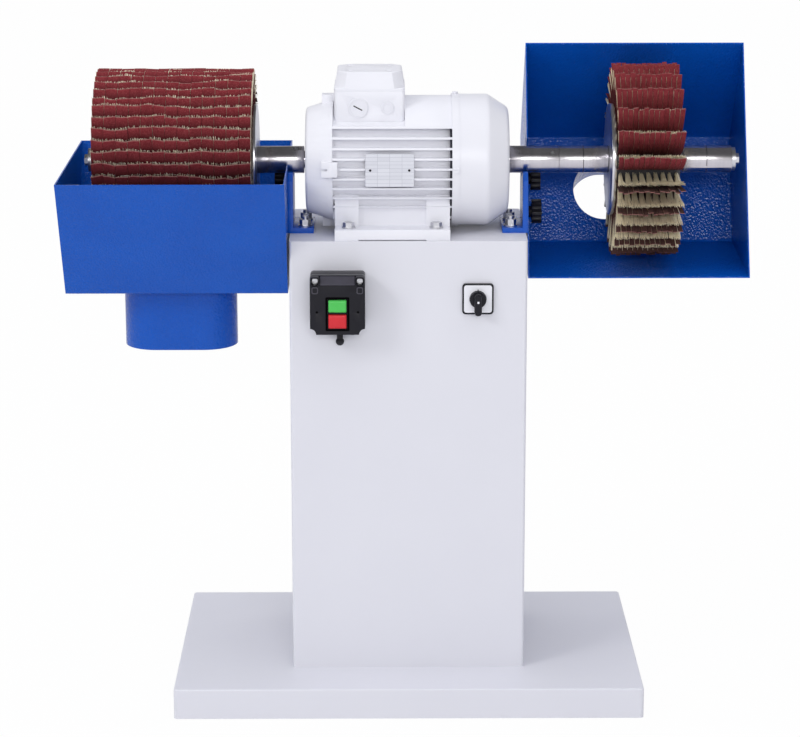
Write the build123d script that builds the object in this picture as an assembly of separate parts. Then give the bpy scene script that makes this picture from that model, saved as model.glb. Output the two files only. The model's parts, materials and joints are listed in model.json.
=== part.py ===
from build123d import *
import math
import os

# Sanding and polishing machine with two working ends, standing on the floor.
# X runs along the motor shaft to the operator's right, Y away from the operator, Z up.
# The origin is on the floor under the middle of the base pan. Lengths are millimetres, angles degrees.

# Allowances shared by all pieces
OVERRUN = 5.0  # how far a cutting shape runs past the face that it opens
SEAT_CLEARANCE = 0.05  # radial room between a turned piece and its seat
BOLT_CLEARANCE = 0.3  # radial room of a bolt in a drilled hole
SLIDE_GAP = 0.1  # gap between flat faces that slide on each other

# Base pan, folded from sheet
BASE_WIDTH = 760.0
BASE_DEPTH = 500.0
BASE_HEIGHT = 50.0
BASE_SHEET = 3.0
BASE_RETURN = 30.0
BASE_STRAP = 80.0  # stiffener across the open underside
BASE_CORNER = 6.0
BASE_BEND = 2.5

# Cabinet, a folded shell with an inset top plate and a screwed rear cover
CABINET_DEPTH = 290.0
CABINET_TOP = 765.0
CABINET_SHEET = 2.5
CABINET_CORNER = 5.0
CABINET_RETURN = 32.0
TOP_PLATE = 10.0
REAR_COVER_SHEET = 2.0
REAR_COVER_MARGIN = 6.0
REAR_SCREW_INSET = 12.0
REAR_SCREW_ROWS = 4

# Small machine screws, pan head
SCREW_RADIUS = 2.5
SCREW_HEAD_RADIUS = 4.6
SCREW_HEAD = 3.2
SCREW_SLOT = 1.2
SCREW_LENGTH = 12.0

# Shaft line
SHAFT_HEIGHT = 112.0  # shaft centre above the motor feet
SHAFT_RADIUS = 14.0
SHAFT_BEARING_RADIUS = 15.0
SHAFT_CORE_RADIUS = 19.0
SHAFT_LEFT_REACH = 60.0  # shaft end past the drive end shield
SHAFT_RIGHT_REACH = 70.6  # shaft end past the fan cowl

# Motor housing
MOTOR_OFFSET = -1.25  # middle of the motor to the right of the middle of the cabinet
HOUSING_LENGTH = 190.5
BARREL_RADIUS = 90.0
FIN_TIP_RADIUS = 104.0
FIN_PITCH = 16.0
FIN_THICKNESS = 3.2
SIDE_FINS = 9
UNDER_FINS = 8
BOSS_WIDTH = 24.0
BOSS_LENGTH = 8.0
BOSS_RADIUS = 107.0

# Motor feet
FOOT_INSET = 3.25  # inside the ends of the housing
FOOT_THICKNESS = 17.0
FOOT_INNER = 58.0  # from the shaft centre line, across the motor
FOOT_OUTER = 117.0
FOOT_MARGIN = 4.0  # behind the front of the cabinet
FOOT_COLUMN = 38.0
FOOT_COLUMN_OUTER = 82.0
FOOT_WEB_OUTER = 74.0
FOOT_WEB_TOP = 44.0  # below the shaft centre
FOOT_RELIEF = 1.5
FOOT_BOLT_INSET = 22.0  # from the ends of the feet, 140 between bolts
FOOT_BOLT_GAUGE = 190.0

# Hexagon bolts of the motor feet and of the hood brackets
BOLT_RADIUS = 5.0
BOLT_FLATS = 16.0
BOLT_HEAD = 6.5
BOLT_TAIL = 14.0
WASHER_RADIUS = 11.0
WASHER_THICKNESS = 2.5
NUT_HEIGHT = 9.0

# End shields and bearings
SHIELD_LENGTH = 44.0
SHIELD_WALL = 8.0
SHIELD_FACE_RADIUS = 84.0
SHIELD_RIM_RADIUS = 98.0
SHIELD_RIM = 8.0
SHIELD_ROUND = 7.0
SHIELD_LUG = 18.0
SHIELD_HUB_RADIUS = 40.0
SHAFT_ROOM = 1.5  # radial room of the shaft in the shields and in the cowl
FAN_SHIELD_RIM = 12.0
FAN_SHIELD_WALL = 9.0
BEARING_WIDTH = 16.0
BEARING_RADIUS = 31.0
BEARING_OUTER_RACE = 26.5
BEARING_INNER_RACE = 20.0
BEARING_BALLS = 9
BEARING_SEAT_LIP = 9.0

# Stator and rotor
CORE_INSET = 45.5  # inside the drive end of the housing
CORE_END_ROOM = 25.0
STATOR_RADIUS = 80.0
STATOR_BORE = 49.0
AIR_GAP = 0.5
WINDING_OUTER = 75.0
WINDING_INNER = 53.0
WINDING_LENGTH = 22.0

# Cooling fan and cowl
FAN_GAP = 8.0
FAN_LENGTH = 32.0
FAN_HUB_RADIUS = 24.0
FAN_RADIUS = 94.0
FAN_DISC = 3.0
FAN_BLADE = 3.0
FAN_BLADES = 7
COWL_RADIUS = 106.0
COWL_SHEET = 1.5
COWL_BEAD = 1.0
COWL_BEAD_LENGTH = 12.0
COWL_STRAIGHT = 58.0
COWL_CONE = 34.0
COWL_END_RADIUS = 84.0
COWL_ROUND = 12.0
COWL_HOLE_RADIUS = 26.0
COWL_SLOTS = 20
COWL_SLOT_WIDTH = 5.0
COWL_SLOT_MARGIN = 7.0

# Terminal box
TERMINAL_INSET = 2.5  # inside the drive end of the housing
TERMINAL_LENGTH = 113.0
TERMINAL_DEPTH = 114.0
TERMINAL_SPLIT = 118.0  # above the shaft centre
TERMINAL_SKIRT = 60.0
TERMINAL_FLOOR = 6.0
TERMINAL_WALL = 4.0
TERMINAL_POST = 6.0
TERMINAL_ROUND = 6.0
LID_HEIGHT = 31.0
LID_TAPER = 5.0
LID_CORNER = 16.0
LID_RIM = 5.0
LID_WALL = 3.0
LID_ROUND = 3.0
LID_SCREW_INSET = 25.0
LID_SCREW_SINK = 4.0
PLUG_LARGE_RADIUS = 16.0
PLUG_SMALL_RADIUS = 10.0
PLUG_FLANGE = 1.5
PLUG_STEP = 2.0
PLUG_HEIGHT = 92.0
PLUG_LARGE_INSET = 38.0
PLUG_SMALL_INSET = 85.0
BLOCK_LENGTH = 60.0
BLOCK_DEPTH = 40.0
BLOCK_HEIGHT = 14.0
STUD_RADIUS = 2.5
STUD_HEIGHT = 5.0
STUD_PITCH = 18.0

# Rating plate
PLATE_INSET = 52.0  # inside the drive end of the housing
PLATE_LENGTH = 78.0
PLATE_HEIGHT = 53.0
PLATE_THICKNESS = 1.0
PLATE_SEAT = 100.0  # in front of the shaft centre line
PLATE_DROP = 1.5
PLATE_MARGIN = 2.0

# Arbors and what sits on them
ARBOR_GAP = 3.5  # between the motor and the arbor sleeve
ARBOR_RADIUS = 22.0
LEFT_SLEEVE = 75.5
RIGHT_SLEEVE = 78.9
MANDREL_RADIUS = 15.0
BORE_BOTTOM_GAP = 1.5
GRUB_RADIUS = 3.0
GRUB_SINK = 0.6
LEFT_GRUB_INSET = 13.0
RIGHT_GRUB_INSET = 68.4
LEFT_GRUB_ANGLE = 62.0
RIGHT_GRUB_ANGLE = 36.0
END_BOLT_RADIUS = 5.0
END_BOLT_DEPTH = 30.0
END_BOLT_HEAD = 6.5
END_WASHER = 6.0
END_WASHER_RADIUS = 19.0
SPACER_RADIUS = 21.8
INNER_SPACERS = (39.5, 41.1)
OUTER_SPACERS = (39.2, 41.2)
ROLLER_SPACER = 12.5

# Roller of slashed abrasive strips on the left
ROLLER_LENGTH = 250.0
ROLLER_FLANGE = 5.0
ROLLER_FLANGE_RADIUS = 90.0
ROLLER_RADIUS = 147.0
ROLLER_CORE_RADIUS = 64.0
ROLLER_BACKING = 9.0
ROLLER_ROWS = 48
ROLLER_FINGERS = 13
ROLLER_TUFTS = 5
ROLLER_LEAN = 35.0
ROLLER_TUFT_OFFSET = 3.6
ROLLER_TUFT_ROOT = 2.6
ROLLER_TUFT_TIP = 4.6
ROLLER_TUFT_WIDTH = 14.0

# Wheel of slashed abrasive strips on the right
WHEEL_LENGTH = 102.0
WHEEL_FLANGE = 7.0
WHEEL_FLANGE_RADIUS = 90.0
WHEEL_COLLAR = 10.0
WHEEL_COLLAR_RADIUS = 36.0
WHEEL_RADIUS = 156.0
WHEEL_CORE_RADIUS = 70.0
WHEEL_BACKING = 9.0
WHEEL_ROWS = 24
WHEEL_FINGERS = 13
WHEEL_TUFTS = 9
WHEEL_LEAN = 12.0
WHEEL_TUFT_OFFSET = 6.0
WHEEL_TUFT_ROOT = 4.0
WHEEL_TUFT_TIP = 9.0
WHEEL_TUFT_WIDTH = 9.5

# What both strip bodies share
STRIP_THICKNESS = 1.4
STRIP_ROOT = 6.0
STRIP_SLIT = 0.8
STRIP_END_ROOM = 0.5
TUFT_SHORTFALL = 6.0  # the brush stops this far under the strip tips
TUFT_ROOT_SHARE = 0.7  # width of a tuft at its root against its tip
TUFT_SINK = 2.0
SLIT_SHARE = 0.86
DRUM_HUB = 9.0
DRUM_WEB = 14.0
DRUM_RIM = 9.0

# Hood brackets, bent from plate
BRACKET_PLATE = 8.0
BRACKET_GAP = 22.05  # between the ends of the motor and the legs
BRACKET_OVERHANG = 3.3  # outside the cabinet
BRACKET_FOOT = 41.0
BRACKET_WIDTH = 103.0
BRACKET_TOP_DROP = 16.0  # top of the leg below the shaft centre
BRACKET_CHAMFER = 12.0
BRACKET_NOTCH_RADIUS = 28.0
BRACKET_BOLT_INSET = 14.0
BRACKET_BOLT_GAUGE = 60.0

# Dust hoods, swinging about the shaft line
HOOD_RIM_ROOM = 43.0  # rim outside the larger working body
HOOD_FLOOR_ROOM = 46.0  # underside of the floor below the larger working body
HOOD_END_ROOM = 12.1  # end wall past the longer arbor
HOOD_RIM_DROP = 3.3  # rim below the shaft centre
HOOD_FLOOR = 184.0
HOOD_SHEET = 2.0
HOOD_NOTCH_RADIUS = 36.0
HOOD_TILT_MIN = -10.0
HOOD_TILT_MAX = 75.0
LEFT_HOOD_TILT = 1.25
RIGHT_HOOD_TILT = 66.0
HOOD_BEND = 6.0
SPIGOT_WIDTH = 184.0
SPIGOT_DEPTH = 108.0
SPIGOT_SHEET = 2.0
SPIGOT_LENGTH = 103.0

# Star knobs that clamp the hoods, with their places behind and below the shaft centre
KNOB_RADIUS = 20.0
KNOB_LOBES = 7
KNOB_HEAD = 16.0
KNOB_COLLAR_RADIUS = 9.5
KNOB_COLLAR = 6.0
KNOB_STUD_RADIUS = 4.0
KNOB_SLOT_ROOM = 0.6
KNOB_SCALLOP_SHARE = 0.3
UPPER_KNOB_BACK = 40.0
UPPER_KNOB_DROP = 38.4
LOWER_KNOB_BACK = 0.0
LOWER_KNOB_DROP = 86.0

# Motor starter on the front of the cabinet
STARTER_X = -112.5
STARTER_DROP = 93.5  # middle below the top of the cabinet
STARTER_WIDTH = 87.0
STARTER_HEIGHT = 93.0
STARTER_BASE_DEPTH = 26.0
STARTER_COVER_DEPTH = 28.0
STARTER_WALL = 3.0
STARTER_CORNER = 5.0
STARTER_SLOPE = 14.0
STARTER_SCOOP = 9.5
STARTER_SEAT = 15.0
STARTER_SCREW = 24.0
STARTER_SCREW_INSET = 8.0
STARTER_PIN_DROP = 10.0
STARTER_PIN_RADIUS = 1.6
STARTER_PIN_INSET = 11.0
STARTER_CABLE_RADIUS = 10.0
SWITCH_WIDTH = 44.0
SWITCH_HEIGHT = 58.0
SWITCH_FACE_GAP = 6.0
BUTTON_WIDTH = 29.0
START_HEIGHT = 21.0
START_RISE = 0.0
STOP_HEIGHT = 23.5
STOP_DROP = 24.7
BUTTON_PROUD = 5.0
BUTTON_ROOM = 0.4
BUTTON_LIP = 1.0
BUTTON_FLANGE = 1.5
GLAND_RADIUS = 5.0
GLAND_CAP_RADIUS = 6.7
GLAND_LENGTH = 27.0
GLAND_DEPTH = 15.0
GLAND_X_OFFSET = 3.0

# Rotary selector on the front of the cabinet
SELECTOR_X = 111.0
SELECTOR_DROP = 93.0  # middle below the top of the cabinet
SELECTOR_SIDE = 50.0
SELECTOR_PLATE = 5.0
SELECTOR_CORNER = 5.5
SELECTOR_PANEL_SIDE = 44.6
SELECTOR_PANEL_SINK = 1.0
SELECTOR_BODY_SIDE = 44.0
SELECTOR_BODY_DEPTH = 48.0
SELECTOR_HUB_RADIUS = 13.3
SELECTOR_HUB = 10.0
SELECTOR_GRIP = 12.0
SELECTOR_GRIP_WIDTH = 9.0
SELECTOR_GRIP_REACH = 24.0
SELECTOR_SPINDLE_RADIUS = 4.0
SELECTOR_SPINDLE_DEPTH = 8.0

# Places that follow from the sizes above
FRONT = -CABINET_DEPTH / 2
AXIS_Y = FRONT + FOOT_MARGIN + FOOT_OUTER
AXIS_Z = CABINET_TOP + SHAFT_HEIGHT
MOTOR_LENGTH = SHIELD_LENGTH + HOUSING_LENGTH + COWL_STRAIGHT + COWL_CONE
SHIELD_FACE = MOTOR_OFFSET - MOTOR_LENGTH / 2
HOUSING_START = SHIELD_FACE + SHIELD_LENGTH
HOUSING_END = HOUSING_START + HOUSING_LENGTH
COWL_END = HOUSING_END + COWL_STRAIGHT + COWL_CONE
BRACKET_FACE = MOTOR_LENGTH / 2 + BRACKET_GAP + BRACKET_PLATE
CABINET_WIDTH = 2 * (BRACKET_FACE - BRACKET_OVERHANG)
SHAFT_LEFT = SHIELD_FACE - SHAFT_LEFT_REACH
SHAFT_RIGHT = COWL_END + SHAFT_RIGHT_REACH
CORE_START = HOUSING_START + CORE_INSET
CORE_END = HOUSING_END - CORE_END_ROOM
DRIVE_BEARING = SHIELD_FACE + BEARING_SEAT_LIP
FAN_BEARING = HOUSING_END + BEARING_SEAT_LIP
FAN_SHIELD_FACE = HOUSING_END + FAN_SHIELD_RIM - FAN_SHIELD_WALL
FAN_START = FAN_BEARING + BEARING_WIDTH + FAN_GAP
FOOT_START = HOUSING_START + FOOT_INSET
FOOT_END = HOUSING_END - FOOT_INSET
PLATE_CENTRE = HOUSING_START + PLATE_INSET + PLATE_LENGTH / 2
TERMINAL_START = HOUSING_START + TERMINAL_INSET
TERMINAL_END = TERMINAL_START + TERMINAL_LENGTH
TERMINAL_CENTRE = (TERMINAL_START + TERMINAL_END) / 2
LEFT_ARBOR = SHIELD_FACE - ARBOR_GAP
RIGHT_ARBOR = COWL_END + ARBOR_GAP
ROLLER_FLANGE_FACE = LEFT_ARBOR - LEFT_SLEEVE
ROLLER_START = ROLLER_FLANGE_FACE - ROLLER_FLANGE
ROLLER_END = ROLLER_START - ROLLER_LENGTH
INNER_SPACER_START = RIGHT_ARBOR + RIGHT_SLEEVE
WHEEL_FLANGE_START = INNER_SPACER_START + sum(INNER_SPACERS)
WHEEL_START = WHEEL_FLANGE_START + WHEEL_FLANGE
WHEEL_END = WHEEL_START + WHEEL_LENGTH
OUTER_SPACER_START = WHEEL_END + WHEEL_COLLAR
MANDREL_END = OUTER_SPACER_START + sum(OUTER_SPACERS)
MANDREL_LEFT = ROLLER_END - ROLLER_SPACER
WORK_RADIUS = max(ROLLER_RADIUS, WHEEL_RADIUS)
WORK_REACH = max(-MANDREL_LEFT, MANDREL_END) + END_WASHER + END_BOLT_HEAD
HOOD_NEAR = BRACKET_FACE + SLIDE_GAP
HOOD_FAR = WORK_REACH + HOOD_END_ROOM + HOOD_SHEET
HOOD_WIDTH = HOOD_FAR - HOOD_NEAR
HOOD_CENTRE = (HOOD_NEAR + HOOD_FAR) / 2
HOOD_RIM = 2 * (WORK_RADIUS + HOOD_RIM_ROOM)
HOOD_DEPTH = WORK_RADIUS + HOOD_FLOOR_ROOM
STARTER_Z = CABINET_TOP - STARTER_DROP
SELECTOR_Z = CABINET_TOP - SELECTOR_DROP
STARTER_BACK = FRONT - STARTER_BASE_DEPTH
STARTER_FRONT = STARTER_BACK - STARTER_COVER_DEPTH


def block(x_low, x_high, y_low, y_high, z_low, z_high):
    """A box between two corners."""
    size = Box(x_high - x_low, y_high - y_low, z_high - z_low)
    return Pos((x_low + x_high) / 2, (y_low + y_high) / 2, (z_low + z_high) / 2) * size


def on_axis(shape, turn=0.0):
    """Move a shape made about the X axis to the shaft line, turned about it."""
    return Pos(0, AXIS_Y, AXIS_Z) * Rot(turn, 0, 0) * shape


def turned(points, rounds=()):
    """A turned piece on the shaft line from its half section, as pairs of place along X and radius.
    Rounds are pairs of a point's number and the radius that rounds it."""
    corners = [Vector(x, 0, radius) for x, radius in points]
    section = make_face(Polyline(corners, close=True)).face()
    for number, size in rounds:
        section = section.fillet_2d(size, [section.vertices().sort_by_distance(corners[number])[0]])
    return on_axis(revolve(section, axis=Axis.X))


def ring(outer, inner, start, end):
    """A plain ring on the shaft line."""
    return turned([(start, inner), (start, outer), (end, outer), (end, inner)])


def rod(radius, start, end):
    """A plain round bar on the shaft line."""
    return turned([(start, 0), (start, radius), (end, radius), (end, 0)])


def rounded_block(width, depth, height, corner):
    """An upright block from Z zero with rounded upright edges."""
    return extrude(RectangleRounded(width, depth, corner), height)


def upright_pin(radius, x, y, z_low, z_high):
    """A round bar along Z."""
    return Pos(x, y, (z_low + z_high) / 2) * Cylinder(radius, z_high - z_low)


def deep_pin(radius, x, z, y_low, y_high):
    """A round bar along Y."""
    return Pos(x, (y_low + y_high) / 2, z) * Rot(90, 0, 0) * Cylinder(radius, y_high - y_low)


def hexagon(flats, height):
    """A hexagonal prism standing on Z zero."""
    return extrude(RegularPolygon(flats / 2, 6, major_radius=False), height)


def pan_screw(length=SCREW_LENGTH):
    """A slotted pan head screw, head up, seated on Z zero."""
    head = Pos(0, 0, SCREW_HEAD / 2) * Cylinder(SCREW_HEAD_RADIUS, SCREW_HEAD)
    shank = Pos(0, 0, -length / 2) * Cylinder(SCREW_RADIUS, length)
    slot = Pos(0, 0, SCREW_HEAD) * Box(SCREW_HEAD_RADIUS * 2 + OVERRUN, SCREW_SLOT, SCREW_SLOT * 2)
    return head + shank - slot


def washer():
    """A plain washer lying on Z zero."""
    face = Circle(WASHER_RADIUS) - Circle(BOLT_RADIUS + BOLT_CLEARANCE)
    return extrude(face, WASHER_THICKNESS)


def base_plate():
    """Folded pan with a return edge and a middle strap that stand on the floor."""
    pan = rounded_block(BASE_WIDTH, BASE_DEPTH, BASE_HEIGHT, BASE_CORNER)
    pan = fillet(pan.edges().group_by(Axis.Z)[-1], BASE_BEND)
    room = rounded_block(
        BASE_WIDTH - 2 * BASE_SHEET,
        BASE_DEPTH - 2 * BASE_SHEET,
        BASE_HEIGHT - 2 * BASE_SHEET,
        BASE_CORNER - BASE_SHEET,
    )
    pan -= Pos(0, 0, BASE_SHEET) * room
    opening = (BASE_WIDTH - BASE_STRAP) / 2 - BASE_RETURN
    mouth = Box(opening, BASE_DEPTH - 2 * BASE_RETURN, 2 * (BASE_SHEET + OVERRUN))
    for side in (-1, 1):
        pan -= Pos(side * (opening + BASE_STRAP) / 2, 0, 0) * mouth
    return pan


def cabinet_shell():
    """Front and side walls folded from one sheet, with return flanges at the back."""
    height = CABINET_TOP - BASE_HEIGHT
    walls = rounded_block(CABINET_WIDTH, CABINET_DEPTH, height, CABINET_CORNER)
    room = rounded_block(
        CABINET_WIDTH - 2 * CABINET_SHEET,
        CABINET_DEPTH - 2 * CABINET_SHEET,
        height + 2 * OVERRUN,
        CABINET_CORNER - CABINET_SHEET,
    )
    back = block(
        -CABINET_WIDTH / 2 + CABINET_RETURN,
        CABINET_WIDTH / 2 - CABINET_RETURN,
        CABINET_DEPTH / 2 - CABINET_SHEET - OVERRUN,
        CABINET_DEPTH / 2 + OVERRUN,
        -OVERRUN,
        height + OVERRUN,
    )
    shell = Pos(0, 0, BASE_HEIGHT) * (walls - Pos(0, 0, -OVERRUN) * room - back)
    outside = FRONT - OVERRUN
    inside = FRONT + CABINET_SHEET + OVERRUN
    shell -= deep_pin(SELECTOR_SPINDLE_RADIUS + BOLT_CLEARANCE, SELECTOR_X, SELECTOR_Z, outside, inside)
    shell -= deep_pin(STARTER_CABLE_RADIUS, STARTER_X, STARTER_Z, outside, inside)
    for x, z in rear_screw_places():
        shell -= deep_pin(SCREW_RADIUS + SEAT_CLEARANCE, x, z, -inside, -outside)
    return shell


def foot_bolt_places():
    """Places of the four motor foot bolts."""
    return [
        (x, AXIS_Y + across * FOOT_BOLT_GAUGE / 2)
        for x in (FOOT_START + FOOT_BOLT_INSET, FOOT_END - FOOT_BOLT_INSET)
        for across in (-1, 1)
    ]


def bracket_bolt_places():
    """Places of the four bolts that hold the hood brackets."""
    inset = BRACKET_FACE - BRACKET_FOOT + BRACKET_BOLT_INSET
    return [
        (side * inset, AXIS_Y + across * BRACKET_BOLT_GAUGE / 2)
        for side in (-1, 1)
        for across in (-1, 1)
    ]


def rear_screw_places():
    """Places of the screws along both upright edges of the rear cover."""
    low = BASE_HEIGHT + REAR_COVER_MARGIN + REAR_SCREW_INSET
    high = CABINET_TOP - REAR_COVER_MARGIN - REAR_SCREW_INSET
    step = (high - low) / (REAR_SCREW_ROWS - 1)
    x = CABINET_WIDTH / 2 - REAR_COVER_MARGIN - REAR_SCREW_INSET
    return [(side * x, low + row * step) for side in (-1, 1) for row in range(REAR_SCREW_ROWS)]


def cabinet_top_plate():
    """Thick plate inside the top of the shell that carries the motor and the brackets."""
    inset = 2 * (CABINET_SHEET + SLIDE_GAP)
    corner = CABINET_CORNER - CABINET_SHEET
    plate = rounded_block(CABINET_WIDTH - inset, CABINET_DEPTH - inset, TOP_PLATE, corner)
    plate = Pos(0, 0, CABINET_TOP - TOP_PLATE) * plate
    hole = BOLT_RADIUS + BOLT_CLEARANCE
    for x, y in foot_bolt_places() + bracket_bolt_places():
        plate -= upright_pin(hole, x, y, CABINET_TOP - TOP_PLATE - OVERRUN, CABINET_TOP + OVERRUN)
    return plate


def rear_cover():
    """Flat panel screwed to the rear flanges of the shell."""
    half = CABINET_WIDTH / 2 - REAR_COVER_MARGIN
    back = CABINET_DEPTH / 2
    low = BASE_HEIGHT + REAR_COVER_MARGIN
    face = back + REAR_COVER_SHEET
    panel = block(-half, half, back, face, low, CABINET_TOP - REAR_COVER_MARGIN)
    for x, z in rear_screw_places():
        panel -= deep_pin(SCREW_RADIUS + BOLT_CLEARANCE, x, z, back - OVERRUN, face + OVERRUN)
    return panel


def rear_cover_screws():
    """Screws of the rear cover, heads to the back."""
    back = CABINET_DEPTH / 2 + REAR_COVER_SHEET
    return Compound([Pos(x, back, z) * Rot(-90, 0, 0) * pan_screw() for x, z in rear_screw_places()])


def knob_places():
    """Stud places against the shaft centre, as pairs of back and up."""
    return [(UPPER_KNOB_BACK, -UPPER_KNOB_DROP), (LOWER_KNOB_BACK, -LOWER_KNOB_DROP)]


def right_bracket():
    """L of plate: a foot on the cabinet and a notched leg that carries the hood."""
    half = BRACKET_WIDTH / 2
    low = -SHAFT_HEIGHT
    outline = Polyline(
        (-half, low),
        (half, low),
        (half, -BRACKET_TOP_DROP - BRACKET_CHAMFER),
        (half - BRACKET_CHAMFER, -BRACKET_TOP_DROP),
        (-half + BRACKET_CHAMFER, -BRACKET_TOP_DROP),
        (-half, -BRACKET_TOP_DROP - BRACKET_CHAMFER),
        close=True,
    )
    leg_face = make_face(outline) - Circle(BRACKET_NOTCH_RADIUS)
    for back, up in knob_places():
        leg_face -= Pos(back, up) * Circle(KNOB_STUD_RADIUS + SEAT_CLEARANCE)
    leg = extrude(Plane.YZ.offset(BRACKET_FACE - BRACKET_PLATE) * leg_face, BRACKET_PLATE)
    foot = block(BRACKET_FACE - BRACKET_FOOT, BRACKET_FACE, -half, half, low, low + BRACKET_PLATE)
    bracket = on_axis(leg + foot)
    hole = BOLT_RADIUS + BOLT_CLEARANCE
    seat = CABINET_TOP + BRACKET_PLATE
    for x, y in bracket_bolt_places():
        bracket -= upright_pin(hole, abs(x), y, CABINET_TOP - OVERRUN, seat + OVERRUN)
    return bracket


def left_bracket():
    """The right bracket in the mirror."""
    return mirror(right_bracket(), about=Plane.YZ)


def bracket_bolts():
    """Bolts up through the top plate, with washers and nuts on the bracket feet."""
    pieces = []
    seat = CABINET_TOP + BRACKET_PLATE
    nut = hexagon(BOLT_FLATS, NUT_HEIGHT)
    nut -= upright_pin(BOLT_RADIUS + SEAT_CLEARANCE, 0, 0, -OVERRUN, NUT_HEIGHT + OVERRUN)
    top = seat + WASHER_THICKNESS + NUT_HEIGHT + BOLT_RADIUS
    for x, y in bracket_bolt_places():
        head = Pos(x, y, CABINET_TOP - TOP_PLATE - BOLT_HEAD) * hexagon(BOLT_FLATS, BOLT_HEAD)
        pieces.append(head + upright_pin(BOLT_RADIUS, x, y, CABINET_TOP - TOP_PLATE, top))
        pieces.append(Pos(x, y, seat) * washer())
        pieces.append(Pos(x, y, seat + WASHER_THICKNESS) * nut)
    return Compound(pieces)


def housing_fins():
    """Level fins on both sides of the barrel, upright fins below it and a smooth saddle above them."""
    top = (SIDE_FINS - 1) / 2 * FIN_PITCH
    fins = [block(TERMINAL_END, HOUSING_END, -FIN_TIP_RADIUS, FIN_TIP_RADIUS, top, FIN_TIP_RADIUS)]
    half = FIN_THICKNESS / 2
    for index in range(SIDE_FINS):
        z = (index - (SIDE_FINS - 1) / 2) * FIN_PITCH
        fins.append(block(HOUSING_START, HOUSING_END, -FIN_TIP_RADIUS, FIN_TIP_RADIUS, z - half, z + half))
    for index in range(UNDER_FINS):
        y = (index - (UNDER_FINS - 1) / 2) * FIN_PITCH
        fins.append(block(HOUSING_START, HOUSING_END, y - half, y + half, -FIN_TIP_RADIUS, 0))
    return fins


def motor_feet():
    """Two foot rails with a thick column at each end, seen against the shaft line."""
    pieces = []
    low = -SHAFT_HEIGHT
    for side in (-1, 1):
        for start, end, reach, top in (
            (FOOT_START, FOOT_END, FOOT_OUTER, low + FOOT_THICKNESS),
            (FOOT_START, FOOT_END, FOOT_WEB_OUTER, -FOOT_WEB_TOP),
            (FOOT_START, FOOT_START + FOOT_COLUMN, FOOT_COLUMN_OUTER, -FOOT_WEB_TOP),
            (FOOT_END - FOOT_COLUMN, FOOT_END, FOOT_COLUMN_OUTER, -FOOT_WEB_TOP),
        ):
            across = sorted((side * FOOT_INNER, side * reach))
            pieces.append(block(start, end, across[0], across[1], low, top))
    return pieces


def shield_bosses(start, end):
    """Four screw bosses round the shaft line, against it."""
    half = BOSS_WIDTH / 2
    bar = block(start, end, -half, half, STATOR_RADIUS + SCREW_HEAD_RADIUS, BOSS_RADIUS)
    return [Rot(quarter * 90, 0, 0) * bar for quarter in range(4)]


def boss_screw_radius():
    """Distance of the boss screws from the shaft centre."""
    return BOSS_RADIUS - SCREW_HEAD_RADIUS


def boss_screw_holes(start, end, radius):
    """Cutters for the boss screws."""
    hole = Pos((start + end) / 2, 0, boss_screw_radius()) * Rot(0, 90, 0) * Cylinder(radius, end - start)
    return [on_axis(hole, quarter * 90) for quarter in range(4)]


def motor_housing():
    """Finned stator housing on feet."""
    skin = on_axis(Part() + housing_fins()) & rod(FIN_TIP_RADIUS, HOUSING_START, HOUSING_END)
    feet = on_axis(Part() + motor_feet())
    bosses = shield_bosses(HOUSING_START, HOUSING_START + BOSS_LENGTH)
    housing = rod(BARREL_RADIUS, HOUSING_START, HOUSING_END) + skin + feet + on_axis(Part() + bosses)
    housing -= rod(STATOR_RADIUS + SEAT_CLEARANCE, HOUSING_START - OVERRUN, HOUSING_END + OVERRUN)
    housing -= block(
        PLATE_CENTRE - PLATE_LENGTH / 2 - PLATE_MARGIN,
        PLATE_CENTRE + PLATE_LENGTH / 2 + PLATE_MARGIN,
        AXIS_Y - FIN_TIP_RADIUS - OVERRUN,
        AXIS_Y - PLATE_SEAT,
        AXIS_Z - PLATE_DROP - PLATE_HEIGHT / 2 - PLATE_MARGIN,
        AXIS_Z - PLATE_DROP + PLATE_HEIGHT / 2 + PLATE_MARGIN,
    )
    housing -= block(
        FOOT_START + FOOT_COLUMN,
        FOOT_END - FOOT_COLUMN,
        AXIS_Y - FOOT_OUTER - OVERRUN,
        AXIS_Y + FOOT_OUTER + OVERRUN,
        CABINET_TOP - OVERRUN,
        CABINET_TOP + FOOT_RELIEF,
    )
    hole = BOLT_RADIUS + BOLT_CLEARANCE
    seat = CABINET_TOP + FOOT_THICKNESS
    for x, y in foot_bolt_places():
        housing -= upright_pin(hole, x, y, CABINET_TOP - OVERRUN, seat + OVERRUN)
    tap = SCREW_RADIUS + SEAT_CLEARANCE
    for bar in boss_screw_holes(HOUSING_START - OVERRUN, HOUSING_START + SCREW_LENGTH, tap):
        housing -= bar
    return housing - terminal_body()


def terminal_body():
    """Outer block of the terminal box, resting on the barrel and clear of the screw bosses."""
    half = TERMINAL_DEPTH / 2
    body = block(TERMINAL_START, TERMINAL_END, -half, half, TERMINAL_SKIRT, TERMINAL_SPLIT)
    body = fillet(body.edges().filter_by(Axis.Z), TERMINAL_ROUND)
    body -= shield_bosses(HOUSING_START, HOUSING_START + BOSS_LENGTH)
    return on_axis(body) - rod(BARREL_RADIUS, HOUSING_START, HOUSING_END)


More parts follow.
